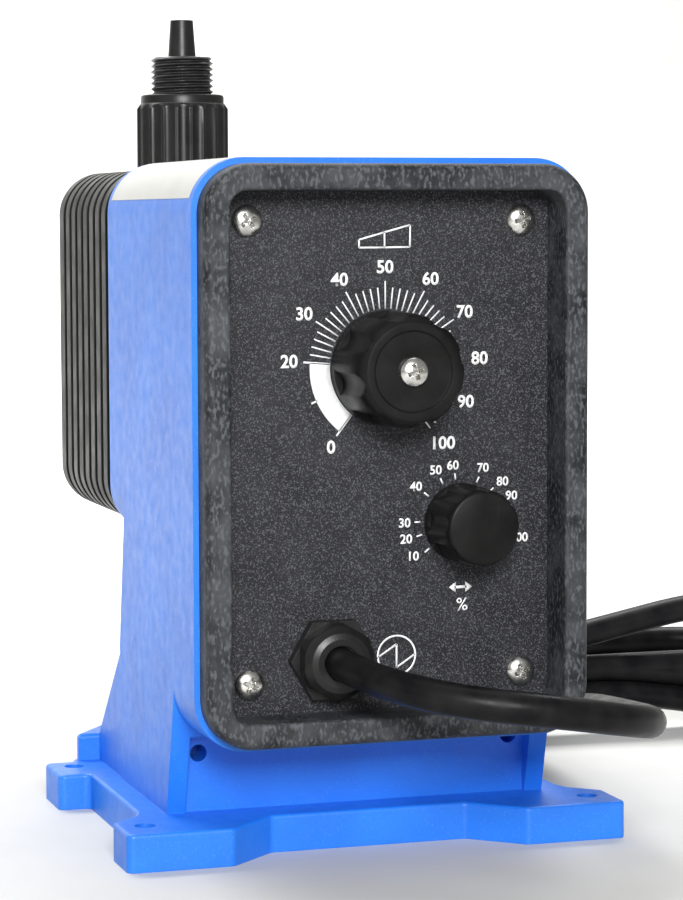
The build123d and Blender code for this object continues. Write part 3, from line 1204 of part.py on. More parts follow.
with BuildPart() as plug_blades:
    with BuildSketch(Plane.YZ.offset(PLUG_X - PLUG_RELIEF - PLUG_LONG)):
        with Locations((PLUG_Y, PLUG_R + BLADE_RISE)):
            with GridLocations(2 * BLADE_HALF, 0, 2, 1):
                Rectangle(BLADE_THICK, BLADE_WIDE)
    extrude(amount=-BLADE_LONG)
    with BuildSketch(Plane.YZ.offset(PLUG_X - PLUG_RELIEF - PLUG_LONG)):
        with Locations((PLUG_Y, PLUG_R - PIN_DROP)):
            Circle(PIN_R)
    extrude(amount=-PIN_LONG)
keep(plug_blades, "plug_blades")
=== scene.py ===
"""Looks of a diaphragm metering pump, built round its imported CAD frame.

Metres; +X right, -Y towards the operator, +Z up. A place on the pump is written
as (x, depth, z) in millimetres, where a depth is counted back from the front
face of the bezel, and at() turns it into the frame.
"""
import json
import math

import bmesh
import bpy
from mathutils import Matrix, Vector


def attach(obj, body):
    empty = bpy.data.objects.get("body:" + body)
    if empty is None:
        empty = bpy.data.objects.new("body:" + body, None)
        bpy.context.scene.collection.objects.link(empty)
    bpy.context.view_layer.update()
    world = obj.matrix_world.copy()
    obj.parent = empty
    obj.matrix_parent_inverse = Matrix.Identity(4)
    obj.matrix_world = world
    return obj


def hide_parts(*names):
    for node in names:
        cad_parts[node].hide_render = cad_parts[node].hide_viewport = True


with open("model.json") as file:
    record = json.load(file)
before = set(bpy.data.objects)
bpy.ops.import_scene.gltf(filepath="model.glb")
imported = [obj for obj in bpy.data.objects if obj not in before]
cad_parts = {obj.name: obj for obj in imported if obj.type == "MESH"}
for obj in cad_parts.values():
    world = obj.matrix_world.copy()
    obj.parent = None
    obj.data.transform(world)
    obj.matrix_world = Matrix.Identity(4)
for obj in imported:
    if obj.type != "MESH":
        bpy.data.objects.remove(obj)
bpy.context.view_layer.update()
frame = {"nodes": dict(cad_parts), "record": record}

NODES = frame["nodes"]
MM = 0.001
HOLES_DEPTH = 84.75          # bezel face to the middle of the base holes
scene = bpy.context.scene
scene.view_settings.view_transform = "Standard"


def at(x, depth, z):
    """The point of the frame at a place on the pump given in millimetres."""
    return Vector((x, depth - HOLES_DEPTH, z)) * MM


# --- Camera -------------------------------------------------------------------
CAMERA_AT = (-289.90, -851.44, 205.51)   # x, depth, z
CAMERA_YAW = math.radians(17.59)         # to the right of straight back
CAMERA_PITCH = math.radians(4.61)        # below the horizon
CAMERA_ROLL = -0.0035
CAMERA_LENS = 115.2
CAMERA_SENSOR = 36.0


def add_camera():
    """The camera that the photograph was solved for."""
    data = bpy.data.cameras.new("camera")
    data.lens = CAMERA_LENS
    data.sensor_width = CAMERA_SENSOR
    camera = bpy.data.objects.new("camera", data)
    scene.collection.objects.link(camera)
    camera.matrix_world = (
        Matrix.Translation(at(*CAMERA_AT))
        @ Matrix.Rotation(-CAMERA_YAW, 4, "Z")
        @ Matrix.Rotation(math.pi / 2 - CAMERA_PITCH, 4, "X")
        @ Matrix.Rotation(CAMERA_ROLL, 4, "Z")
    )
    scene.camera = camera


add_camera()

# --- Materials ------------------------------------------------------------------


class Surface:
    """A procedural material: a Principled shader and the textures that feed it."""

    def __init__(self, name, roughness=0.5, metallic=0.0, coat=0.0, specular=0.5):
        self.material = bpy.data.materials.new(name)
        self.material.use_nodes = True
        self.tree = self.material.node_tree
        self.shader = self.tree.nodes["Principled BSDF"]
        self.shader.inputs["Roughness"].default_value = roughness
        self.shader.inputs["Metallic"].default_value = metallic
        self.shader.inputs["Coat Weight"].default_value = coat
        self.shader.inputs["Specular IOR Level"].default_value = specular
        self.place = self.node("ShaderNodeTexCoord").outputs["Object"]

    def node(self, kind, **settings):
        made = self.tree.nodes.new(kind)
        for name, value in settings.items():
            setattr(made, name, value)
        return made

    def link(self, output, entry):
        self.tree.links.new(output, entry)

    def noise(self, size, detail=3.0, stretch=(1, 1, 1)):
        """Noise whose blobs are about `size` millimetres across."""
        mapping = self.node("ShaderNodeMapping")
        mapping.inputs["Scale"].default_value = stretch
        self.link(self.place, mapping.inputs["Vector"])
        texture = self.node("ShaderNodeTexNoise")
        texture.inputs["Scale"].default_value = 1 / (size * MM)
        texture.inputs["Detail"].default_value = detail
        self.link(mapping.outputs["Vector"], texture.inputs["Vector"])
        return texture.outputs["Fac"]

    def cells(self, size):
        """Distance to the nearest of scattered dots about `size` millimetres apart."""
        texture = self.node("ShaderNodeTexVoronoi")
        texture.inputs["Scale"].default_value = 1 / (size * MM)
        self.link(self.place, texture.inputs["Vector"])
        return texture.outputs["Distance"]

    def ramp(self, value, *stops):
        """Colours or greys at positions along a value."""
        made = self.node("ShaderNodeValToRGB")
        elements = made.color_ramp.elements
        while len(elements) < len(stops):
            elements.new(0.5)
        for element, (position, colour) in zip(elements, stops):
            element.position = position
            element.color = (*colour, 1) if isinstance(colour, tuple) else (colour,) * 3 + (1,)
        self.link(value, made.inputs["Fac"])
        return made.outputs["Color"]

    def mix(self, first, second, share):
        """Second over first, by a texture's share or a fixed one."""
        made = self.node("ShaderNodeMix", data_type="RGBA")
        factor, a, b = made.inputs[0], made.inputs[6], made.inputs[7]
        for value, entry in ((first, a), (second, b), (share, factor)):
            if isinstance(value, tuple):
                entry.default_value = (*value, 1)
            elif isinstance(value, float):
                entry.default_value = value
            else:
                self.link(value, entry)
        return made.outputs[2]

    def colour(self, value):
        self.link(value, self.shader.inputs["Base Color"])

    def rough(self, value, low, high):
        """Roughness that follows a texture between two values."""
        spread = self.node("ShaderNodeMapRange")
        spread.inputs["From Min"].default_value = 0.3
        spread.inputs["From Max"].default_value = 0.7
        spread.inputs["To Min"].default_value = low
        spread.inputs["To Max"].default_value = high
        self.link(value, spread.inputs["Value"])
        self.link(spread.outputs["Result"], self.shader.inputs["Roughness"])

    def edges(self, width, low, high):
        """Share that rises from 0 on flat faces to 1 along edges, over `width` millimetres, for a
        painted highlight.
        """
        bevel = self.node("ShaderNodeBevel", samples=4)
        bevel.inputs["Radius"].default_value = width * MM
        alike = self.node("ShaderNodeVectorMath", operation="DOT_PRODUCT")
        self.link(bevel.outputs["Normal"], alike.inputs[0])
        self.link(self.node("ShaderNodeNewGeometry").outputs["Normal"], alike.inputs[1])
        return self.ramp(alike.outputs["Value"], (low, 1.0), (high, 0.0))

    def relief(self, *layers, edge=0.0):
        """Bump from (texture, height in millimetres) layers, over edges rounded by `edge`."""
        normal = None
        if edge:
            bevel = self.node("ShaderNodeBevel", samples=4)
            bevel.inputs["Radius"].default_value = edge * MM
            normal = bevel.outputs["Normal"]
        for value, height in layers:
            bump = self.node("ShaderNodeBump")
            bump.inputs["Strength"].default_value = 1.0
            bump.inputs["Distance"].default_value = height * MM
            self.link(value, bump.inputs["Height"])
            if normal is not None:
                self.link(normal, bump.inputs["Normal"])
            normal = bump.outputs["Normal"]
        if normal is not None:
            self.link(normal, self.shader.inputs["Normal"])


def moulded(name, dark, light, grain, roughness, height=0.02, edge=0.3, coat=0.0):
    """Moulded plastic: two near tones in soft patches, a fine grain and soft edges."""
    surface = Surface(name, roughness, coat=coat)
    patches = surface.noise(22)
    fine = surface.noise(grain, detail=4)
    surface.colour(surface.ramp(patches, (0.3, dark), (0.7, light)))
    surface.rough(patches, roughness - 0.05, roughness + 0.07)
    surface.relief((fine, height), edge=edge)
    return surface.material


def housing_blue():
    """Saturated blue casting plastic with a fine sparkle and faint handling marks."""
    surface = Surface("housing_blue", 0.42)
    patches = surface.noise(30)
    fine = surface.noise(0.7, detail=5)
    body = surface.ramp(patches, (0.3, (0.010, 0.150, 0.660)), (0.7, (0.014, 0.185, 0.760)))
    flecks = surface.ramp(fine, (0.58, 0.0), (0.74, 0.35))
    surface.colour(surface.mix(body, (0.10, 0.33, 0.86), flecks))
    surface.rough(surface.noise(5), 0.36, 0.48)
    surface.relief((fine, 0.03), (surface.noise(9), 0.05), edge=0.5)
    return surface.material


def bezel_rubber():
    """Charcoal moulding, mottled and scuffed paler in streaks, with a painted highlight along its
    edges.
    """
    surface = Surface("bezel_rubber", 0.6, specular=0.3)
    patches = surface.noise(10, detail=6)
    streaks = surface.noise(1.0, detail=6, stretch=(1, 1, 0.5))
    body = surface.ramp(patches, (0.36, (0.008, 0.009, 0.011)), (0.64, (0.044, 0.047, 0.052)))
    scuffs = surface.ramp(streaks, (0.50, 0.0), (0.64, 0.75))
    worn = surface.mix(body, (0.092, 0.098, 0.108), scuffs)
    # pale grey mixed in along the edges is a painted highlight
    surface.colour(surface.mix(worn, (0.26, 0.27, 0.28), surface.edges(0.5, 0.90, 0.995)))
    surface.rough(streaks, 0.48, 0.70)
    surface.relief((streaks, 0.07), (surface.noise(0.6), 0.03), edge=0.6)
    return surface.material


def panel_black():
    """Leather-grained black plastic with fine pale flecks."""
    surface = Surface("panel_black", 0.5, specular=0.3)
    fine = surface.noise(0.42, detail=4)
    patches = surface.noise(14)
    body = surface.ramp(patches, (0.3, (0.006, 0.006, 0.008)), (0.7, (0.014, 0.014, 0.017)))
    flecks = surface.ramp(fine, (0.53, 0.0), (0.64, 0.9))
    surface.colour(surface.mix(body, (0.090, 0.093, 0.108), flecks))
    surface.rough(fine, 0.40, 0.66)
    surface.relief((fine, 0.09), edge=0.3)
    return surface.material


def black_plastic(name, tone, roughness, grain=0.8, height=0.02, specular=0.35, edge_highlight_tone=0.0):
    """Black nylon: satin, with a dull haze and small scratches, and where asked a painted highlight
    along its edges in a given tone.
    """
    surface = Surface(name, roughness, specular=specular)
    haze = surface.noise(11, detail=4)
    scratches = surface.noise(1.1, detail=4, stretch=(1, 1, 0.15))
    body = surface.ramp(haze, (0.3, (tone * 0.7,) * 3), (0.7, (tone * 1.4,) * 3))
    marks = surface.ramp(scratches, (0.60, 0.0), (0.78, 0.22))
    body = surface.mix(body, (tone * 4, tone * 4, tone * 4.2), marks)
    # a paler tone along the edges is a painted highlight
    if edge_highlight_tone:
        body = surface.mix(body, (edge_highlight_tone,) * 3, surface.edges(0.45, 0.88, 0.995))
    surface.colour(body)
    surface.rough(haze, roughness - 0.08, roughness + 0.08)
    surface.relief((surface.noise(grain), height), edge=0.35)
    return surface.material


def metal(name, colour, roughness, brushed=(1, 1, 1)):
    """Bare metal with a faint tarnish and fine tool marks."""
    surface = Surface(name, roughness, metallic=1.0)
    tarnish = surface.noise(2.5, detail=4)
    marks = surface.noise(0.5, detail=3, stretch=brushed)
    dull = tuple(c * 0.62 for c in colour)
    surface.colour(surface.ramp(tarnish, (0.32, dull), (0.62, colour)))
    surface.rough(tarnish, roughness + 0.12, roughness - 0.06)
    surface.relief((marks, 0.012), edge=0.25)
    return surface.material


def jacket():
    """Smooth black PVC with a soft shine and dusty patches."""
    surface = Surface("cord_jacket", 0.38, specular=0.12)
    dust = surface.noise(9, detail=5)
    surface.colour(surface.ramp(dust, (0.35, (0.004, 0.004, 0.005)), (0.75, (0.012, 0.012, 0.012))))
    surface.rough(dust, 0.30, 0.46)
    surface.relief((surface.noise(1.3), 0.02), (surface.noise(14), 0.12))
    return surface.material


def laminate():
    """Board laminate with a darker copper pattern showing through."""
    surface = Surface("board_laminate", 0.4)
    weave = surface.cells(1.6)
    surface.colour(surface.ramp(weave, (0.1, (0.012, 0.10, 0.04)), (0.5, (0.03, 0.20, 0.08))))
    surface.relief((weave, 0.02))
    return surface.material


def winding():
    """Enamelled copper wire, layer on layer."""
    surface = Surface("copper_winding", 0.3, metallic=1.0)
    turns = surface.noise(0.6, detail=2, stretch=(0.1, 1, 0.1))
    surface.colour(surface.ramp(turns, (0.3, (0.33, 0.10, 0.04)), (0.7, (0.72, 0.30, 0.14))))
    surface.relief((turns, 0.15))
    return surface.material


LOOKS = {
    "blue_housing": housing_blue(),
    "bezel_rubber": bezel_rubber(),
    "seal_rubber": moulded("seal_rubber", (0.012,) * 3, (0.022,) * 3, 1.0, 0.7),
    "panel_black": panel_black(),
    "screw_steel": metal("screw_steel", (0.80, 0.79, 0.76), 0.22),
    "black_nylon": black_plastic("black_nylon", 0.009, 0.36),
    "brass_bush": metal("brass_bush", (0.80, 0.58, 0.27), 0.28),
    "machined_steel": metal("machined_steel", (0.58, 0.58, 0.57), 0.32, (0.2, 1, 0.2)),
    "knob_plastic": black_plastic("knob_plastic", 0.006, 0.42, grain=0.5, specular=0.14),
    "pot_metal": metal("pot_metal", (0.65, 0.64, 0.60), 0.35),
    "board_laminate": laminate(),
    "capacitor_sleeve": moulded("capacitor_sleeve", (0.02, 0.025, 0.08), (0.03, 0.035, 0.1), 1.0, 0.25),
    "heat_sink": metal("heat_sink", (0.68, 0.69, 0.70), 0.4, (1, 1, 0.1)),
    "terminal_plastic": moulded("terminal_plastic", (0.03, 0.16, 0.06), (0.05, 0.2, 0.08), 0.8, 0.45),
    # the solenoid's edges get a painted highlight tone
    "solenoid_plastic": black_plastic("solenoid_plastic", 0.006, 0.42, specular=0.15, edge_highlight_tone=0.08),
    "bobbin_plastic": moulded("bobbin_plastic", (0.62, 0.58, 0.48), (0.7, 0.66, 0.55), 1.0, 0.5),
    "copper_winding": winding(),
    "spring_steel": metal("spring_steel", (0.52, 0.52, 0.53), 0.25),
    "diaphragm_ptfe": moulded("diaphragm_ptfe", (0.74, 0.74, 0.71), (0.84, 0.84, 0.82), 1.5, 0.35),
    "head_plastic": black_plastic("head_plastic", 0.016, 0.45),
    # the cartridge's edges get a painted highlight tone
    "cartridge_plastic": black_plastic("cartridge_plastic", 0.011, 0.36, edge_highlight_tone=0.09),
    "ceramic_ball": moulded(
        "ceramic_ball", (0.80, 0.78, 0.73), (0.88, 0.86, 0.82), 2.0, 0.15, height=0.004,
    ),
    "cord_jacket": jacket(),
    "plug_vinyl": black_plastic("plug_vinyl", 0.012, 0.45),
    # pale grey in place of black rubber: a painted highlight along the solenoid's flange joint
    "painted_highlight_gasket": moulded("painted_highlight_gasket", (0.30, 0.31, 0.31), (0.46, 0.47, 0.47), 1.0, 0.35),
}


SPECIAL = {"solenoid_gasket": "painted_highlight_gasket"}    # nodes that don't look like their slot: the solenoid gasket is pale grey as a painted highlight along the flange joint


def paint_nodes():
    """Gives every carried-over node the look of its material slot."""
    slots = {part["node"]: part["material_slot"] for part in frame["record"]["subparts"]}
    for name, node in NODES.items():
        look = LOOKS[SPECIAL.get(name, slots[name])]
        if not node.data.materials:
            node.data.materials.append(look)
        for entry in node.material_slots:
            entry.link = "OBJECT"
            entry.material = look


paint_nodes()

# --- Making meshes ---------------------------------------------------------------
SMOOTH_ANGLE = math.radians(32)


def piece(name, shape, look, body, outward=True):
    """A named object from a bmesh, with its look, riding on its body."""
    mesh = bpy.data.meshes.new(name)
    if outward:
        bmesh.ops.recalc_face_normals(shape, faces=shape.faces)
    for face in shape.faces:
        face.smooth = True
    for edge in shape.edges:
        if len(edge.link_faces) == 2 and edge.calc_face_angle(0) > SMOOTH_ANGLE:
            edge.smooth = False
    shape.to_mesh(mesh)
    shape.free()
    made = bpy.data.objects.new(name, mesh)
    scene.collection.objects.link(made)
    made.data.materials.append(look)
    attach(made, body)
    return made


def turned(profile, segments=64, shaped=None, hollow=False):
    """A closed body of revolution about local Z from (radius, height) points in millimetres.

    shaped(angle, radius, height) gives the radius of each point off the axis, and a
    hollow body's last ring joins its first.
    """
    shape = bmesh.new()
    rings = []
    for radius, height in profile:
        if radius == 0:
            rings.append([shape.verts.new((0, 0, height * MM))])
            continue
        ring = []
        for step in range(segments):
            angle = 2 * math.pi * step / segments
            reach = shaped(angle, radius, height) if shaped else radius
            ring.append(
                shape.verts.new(
                    (reach * math.cos(angle) * MM, reach * math.sin(angle) * MM, height * MM)
                )
            )
        rings.append(ring)
    pairs = list(zip(rings, rings[1:])) + ([(rings[-1], rings[0])] if hollow else [])
    for low, high in pairs:
        for step in range(segments):
            after = (step + 1) % segments
            corners = [low[step % len(low)], low[after % len(low)]]
            corners += [high[after % len(high)], high[step % len(high)]]
            corners = list(dict.fromkeys(corners))
            if len(corners) > 2:
                shape.faces.new(corners)
    return shape


def evaluated(obj):
    """The object's mesh with its modifiers applied; the object itself is removed."""
    bpy.context.view_layer.update()
    mesh = bpy.data.meshes.new_from_object(obj.evaluated_get(bpy.context.evaluated_depsgraph_get()))
    bpy.data.objects.remove(obj)
    return mesh


def loose(shape, name="work"):
    """A throwaway object from a bmesh."""
    mesh = bpy.data.meshes.new(name)
    bmesh.ops.recalc_face_normals(shape, faces=shape.faces)
    shape.to_mesh(mesh)
    shape.free()
    made = bpy.data.objects.new(name, mesh)
    scene.collection.objects.link(made)
    return made


def cut(body, tool):
    """The mesh of a body with a tool taken out of it."""
    base, cutter = loose(body), loose(tool)
    modifier = base.modifiers.new("cut", "BOOLEAN")
    modifier.operation = "DIFFERENCE"
    modifier.solver = "EXACT"
    modifier.object = cutter
    mesh = evaluated(base)
    bpy.data.objects.remove(cutter)
    return mesh


def turn_to_front(x, depth, z, spin=0.0):
    """Stands local +Z out of the pump's front (towards -Y) at a place."""
    stand = Matrix.Rotation(math.pi / 2, 4, "X")
    return Matrix.Translation(at(x, depth, z)) @ stand @ Matrix.Rotation(spin, 4, "Z")


# --- Mains cord -------------------------------------------------------------------
CORD_D = 10.4
CORD_ROUTE = [
    (-18.5, 12, 65.5), (-18.5, -17.9, 64.5), (0.2, -43.7, 60.5), (30.5, -53.5, 57),
    (60.8, -43.7, 51), (79.5, -17.9, 45), (84, 24, 41), (90, 67, 36), (97, 110, 26),
    (101, 152, 14), (102, 190, 6.6), (101, 228, 5.2),
]
TAIL_ROUTE = [(137, 205, 38), (109, 204, 36), (82, 201, 26), (56, 198, 16), (32, 197, 13)]
HANK_LEFT = 133.0
HANK_RIGHT = 205.0
HANK_DEPTH = 237.0
HANK_FOLD_R = 32.0
HANK_TURNS = 3               # full turns, before the one that leaves for the plug
HANK_STEPS = 24              # control points to a turn
HANK_LEAVES = 0.843          # share of the last turn before the cord leaves it
CLIMB_FROM = 0.55            # share of a turn over which it climbs one diameter
CLIMB_TO = 0.80
FLOOR_Z = CORD_D / 2
# the last turn: (share, height) as it drops beside the others, then arches over them
LAST_HEIGHTS = [(0.0, 26.0), (0.20, 5.2), (0.68, 49.4)]
LEAVE_Z = 38.0
SPREAD_OUT = (-0.22, 0.0)    # turns from the last one's start over which it moves outside
SPREAD_BACK = (0.47, 0.66)   # and over which it comes back


def smoothstep(share):
    share = min(max(share, 0.0), 1.0)
    return share * share * (3 - 2 * share)


def hank_spread(turns):
    """How far outside the stack the cord runs: one diameter as the last turn goes round."""
    out, back = (
        smoothstep((turns - HANK_TURNS - start) / (end - start))
        for start, end in (SPREAD_OUT, SPREAD_BACK)
    )
    return CORD_D * (out - back)


def hank_height(turns):
    """Height of the centre line above the floor."""
    layer, share = int(turns), turns % 1
    if layer < HANK_TURNS:
        climb = smoothstep((share - CLIMB_FROM) / (CLIMB_TO - CLIMB_FROM))
        return FLOOR_Z + CORD_D * min(layer + climb, HANK_TURNS - 1)
    for (start, low), (end, high) in zip(LAST_HEIGHTS, LAST_HEIGHTS[1:]):
        if share < end:
            return low + (high - low) * smoothstep((share - start) / (end - start))
    start, high = LAST_HEIGHTS[-1]
    return high + (LEAVE_Z - high) * (share - start) / (HANK_LEAVES - start)


def hank_point(turns):
    """Centre line of the hank after a number of turns from its left-hand end."""
    straight = HANK_RIGHT - HANK_LEFT
    fold = math.pi * HANK_FOLD_R
    run = (turns % 1) * 2 * (straight + fold)
    reach = HANK_FOLD_R + hank_spread(turns)
    if run < fold / 2:
        angle = run / HANK_FOLD_R
        x, depth = HANK_LEFT - reach * math.cos(angle), HANK_DEPTH + reach * math.sin(angle)
    elif run < fold / 2 + straight:
        x, depth = HANK_LEFT + run - fold / 2, HANK_DEPTH + reach
    elif run < 1.5 * fold + straight:
        angle = (run - fold / 2 - straight) / HANK_FOLD_R
        x, depth = HANK_RIGHT + reach * math.sin(angle), HANK_DEPTH + reach * math.cos(angle)
    elif run < 1.5 * fold + 2 * straight:
        x, depth = HANK_RIGHT - (run - 1.5 * fold - straight), HANK_DEPTH - reach
    else:
        angle = (run - 1.5 * fold - 2 * straight) / HANK_FOLD_R
        x, depth = HANK_LEFT - reach * math.sin(angle), HANK_DEPTH - reach * math.cos(angle)
    return x, depth, hank_height(turns)


def cord_points():
    """Control points of the whole cord, from the gland to the plug."""
    steps = int((HANK_TURNS + HANK_LEAVES) * HANK_STEPS)
    turns = [hank_point(step / HANK_STEPS) for step in range(1, steps)]
    return CORD_ROUTE + turns + TAIL_ROUTE


def add_cord():
    curve = bpy.data.curves.new("mains_cord", "CURVE")
    curve.dimensions = "3D"
    curve.bevel_depth = CORD_D / 2 * MM
    curve.bevel_resolution = 7
    curve.use_fill_caps = True
    points = cord_points()
    spline = curve.splines.new("NURBS")
    spline.points.add(len(points) - 1)
    for point, place in zip(spline.points, points):
        point.co = (*at(*place), 1)
    spline.order_u = 3
    spline.use_endpoint_u = True
    spline.resolution_u = 10
    curve.materials.append(LOOKS["cord_jacket"])
    cord = bpy.data.objects.new("mains_cord", curve)
    scene.collection.objects.link(cord)
    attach(cord, "pump_frame")
    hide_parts("power_cord", "cord_hank", "cord_tail")
    return cord


PLUG_AT = (0.0, 197.0, 13.0)
PLUG_SECTIONS = [
    # distance from the blade face, half width, half height, squareness
    (0.0, 12.4, 12.4, 2.0), (0.5, 12.9, 12.9, 2.0), (5.0, 13.0, 13.0, 2.0), (6.0, 12.0, 12.0, 2.0),
    (13.0, 11.2, 10.2, 2.4), (20.0, 10.6, 8.8, 2.6), (27.0, 10.0, 8.4, 2.6), (30.5, 9.0, 8.0, 2.4),
    (32.0, 7.6, 7.2, 2.0),
]
RELIEF_LONG = 20.0
RELIEF_RINGS = 6


def add_plug():
    """Moulded plug: round blade face, waisted grip and a ribbed, tapering strain relief."""
    sections = list(PLUG_SECTIONS)
    for ring in range(RELIEF_RINGS):
        start = 32.0 + RELIEF_LONG * (ring + 0.15) / RELIEF_RINGS
        wide = 7.4 - 2.0 * ring / RELIEF_RINGS
        sections += [
            (start, wide, wide, 2.0), (start + 1.9, wide - 0.2, wide - 0.2, 2.0),
            (start + 2.1, wide - 1.3, wide - 1.3, 2.0), (start + 2.9, wide - 1.3, wide - 1.3, 2.0),
        ]
    shape = bmesh.new()
    rings = []
    for along, half_wide, half_tall, square in sections:
        ring = []
        for step in range(48):
            angle = 2 * math.pi * step / 48
            c, s = math.cos(angle), math.sin(angle)
            reach = (abs(c) ** square + abs(s) ** square) ** (-1 / square)
            ring.append(
                shape.verts.new(
                    at(
                        PLUG_AT[0] + along,
                        PLUG_AT[1] + half_wide * reach * c,
                        PLUG_AT[2] + half_tall * reach * s,
                    )
                )
            )
        rings.append(ring)
    for low, high in zip(rings, rings[1:]):
        for step in range(48):
            after = (step + 1) % 48
            shape.faces.new((low[step], low[after], high[after], high[step]))
    shape.faces.new(rings[0])
    shape.faces.new(list(reversed(rings[-1])))
    plug = piece("mains_plug", shape, LOOKS["plug_vinyl"], "pump_frame")
    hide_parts("power_plug")
    return plug


cord = add_cord()
plug = add_plug()

# --- Screws ------------------------------------------------------------------------
PANEL_DEPTH = 16.5
AXIS_Z = 158.0
RECESS_HALF = 2.9            # cross recess at the mouth, and how it narrows
RECESS_WING = 0.68
RECESS_DEEP = 2.3
RECESS_TAPER = 0.45


def pan_head(head_r, tall, shank_r, shank_long):
    """Pan-head screw along local +Z, seated at 0, with a tapered cross recess."""
    profile = [(0, tall)]
    for step in range(1, 13):
        turn = math.pi / 2 * step / 12
        profile.append((head_r * math.sin(turn), tall * (0.22 + 0.78 * math.cos(turn))))
    profile += [(head_r, 0), (shank_r, 0), (shank_r, -shank_long), (0, -shank_long)]
    recess = bmesh.new()
    loops = []
    for height, shrink in ((tall + 0.5, 1.1), (tall - RECESS_DEEP, RECESS_TAPER)):
        far, near = RECESS_HALF * shrink, RECESS_WING * (0.5 + shrink / 2)
        corners = []
        for quarter in range(4):
            turn = Matrix.Rotation(quarter * math.pi / 2, 2)
            corners += [turn @ Vector(corner) for corner in ((near, -near), (far, -near), (far, near))]
        loops.append([recess.verts.new((*(corner * MM), height * MM)) for corner in corners])
    count = len(loops[0])
    for step in range(count):
        after = (step + 1) % count
        recess.faces.new((loops[0][step], loops[0][after], loops[1][after], loops[1][step]))
    recess.faces.new(loops[0])
    recess.faces.new(list(reversed(loops[1])))
    return cut(turned(profile, 48), recess)


def add_screws(name, places, spins, head_r, tall, shank_r, shank_long, depth, body, node):
    """Pan-head screws that point out of the front at (x, z) places."""
    shape = bmesh.new()
    for (x, z), spin in zip(places, spins):
        mesh = pan_head(head_r, tall, shank_r, shank_long)
        mesh.transform(turn_to_front(x, depth, z, math.radians(spin)))
        shape.from_mesh(mesh)
        bpy.data.meshes.remove(mesh)
    made = piece(name, shape, LOOKS["screw_steel"], body)
    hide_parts(node)


PANEL_SCREWS = [(-45.7, 204.7), (45.7, 204.7), (-45.7, 58.5), (45.7, 58.5)]
PANEL_SCREW_SPINS = (38, 12, 64, 22)
PANEL_SCREW_HEAD_R = 5.0
PANEL_SCREW_LONG = 18.0
KNOB_SCREW_SPINS = (20,)
KNOB_SCREW_HEAD_R = 4.75
KNOB_SCREW_LONG = 14.8
KNOB_SCREW_DEPTH = -10.8     # where its head seats
SCREW_HEAD_TALL = 3.0
SCREW_R = 2.1

add_screws(
    "panel_screw_heads", PANEL_SCREWS, PANEL_SCREW_SPINS, PANEL_SCREW_HEAD_R, SCREW_HEAD_TALL,
    SCREW_R, PANEL_SCREW_LONG, PANEL_DEPTH, "pump_frame", "panel_screws",
)
add_screws(
    "knob_screw", [(0, AXIS_Z)], KNOB_SCREW_SPINS, KNOB_SCREW_HEAD_R, SCREW_HEAD_TALL,
    SCREW_R, KNOB_SCREW_LONG, KNOB_SCREW_DEPTH, "stroke_control", "stroke_knob_screw",
)

# --- Knobs ---------------------------------------------------------------------------
KNOB_BACK = 15.9             # depth of the knobs' backs, just clear of the panel
SCALLOPS = 8
SKIRT = 3.5                  # plain ring at the foot of a knob
FLAT_SHARE = 0.8             # profile points further in than this share of the radius stay round
STROKE_KNOB_R = 18.3
RATE_KNOB_R = 12.6
RATE_KNOB_AT = (25.5, 107.8)
NUT_RECESS = 5.0             # how deep each knob is hollowed for the nut behind it


def scallop_cutter(base_r, scallop_r, bite, first):
    """Surface of a knob with finger scallops round its side, the first at an angle in degrees."""
    middle = base_r + scallop_r - bite

    def reach(angle, radius, height):
        if height <= SKIRT or radius < base_r * FLAT_SHARE:
            return radius
        pitch = 2 * math.pi / SCALLOPS
        away = (angle - math.radians(first) + pitch / 2) % pitch - pitch / 2
        off = middle * math.sin(away)
        if abs(off) >= scallop_r:
            return radius
        return min(radius, middle * math.cos(away) - math.sqrt(scallop_r ** 2 - off ** 2))

    return reach


def add_knob(name, x, z, profile, shaped, hollow, body, node):
    """A knob turned from a profile and scalloped, facing out of the panel at (x, z)."""
    shape = turned(profile, 192, shaped, hollow)
    shape.transform(turn_to_front(x, KNOB_BACK, z))
    made = piece(name, shape, LOOKS["knob_plastic"], body)
    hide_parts(node)


# (radius, height from the knob's back)
STROKE_SIDE = [
    (STROKE_KNOB_R, 0), (STROKE_KNOB_R, SKIRT), (STROKE_KNOB_R, SKIRT + 0.02),
    (18.2, 8), (18.1, 13), (18.0, 18), (17.85, 22),
    (17.5, 24.4), (16.9, 25.8), (16.1, 26.7), (15.5, 27.1), (15.2, 27.4), (14.6, 27.5), (12.9, 27.4),
    (12.3, 26.7),
]
STROKE_BORE = [
    (2.25, 26.7), (2.25, 19.9), (4.15, 19.9), (4.15, NUT_RECESS), (13.5, NUT_RECESS), (13.5, 0),
]
add_knob(
    "scalloped_stroke_knob", 0, AXIS_Z, STROKE_SIDE + STROKE_BORE,
    scallop_cutter(STROKE_KNOB_R, 5.5, 2.2, 14), True, "stroke_control", "stroke_knob",
)
RATE_SIDE = [
    (0, 21.4), (10.8, 21.4), (11.4, 21.15), (11.9, 20.5), (12.15, 19), (12.25, 16), (12.4, 11),
    (12.5, 6), (RATE_KNOB_R, SKIRT + 0.02), (RATE_KNOB_R, SKIRT), (RATE_KNOB_R, 0),
]
RATE_BORE = [(7.53, 0), (7.53, NUT_RECESS), (3.05, NUT_RECESS), (3.05, 13.0), (0, 13.0)]
add_knob(
    "scalloped_rate_knob", *RATE_KNOB_AT, RATE_SIDE + RATE_BORE,
    scallop_cutter(RATE_KNOB_R, 4.0, 1.0, 38), False, "rate_control", "rate_knob",
)

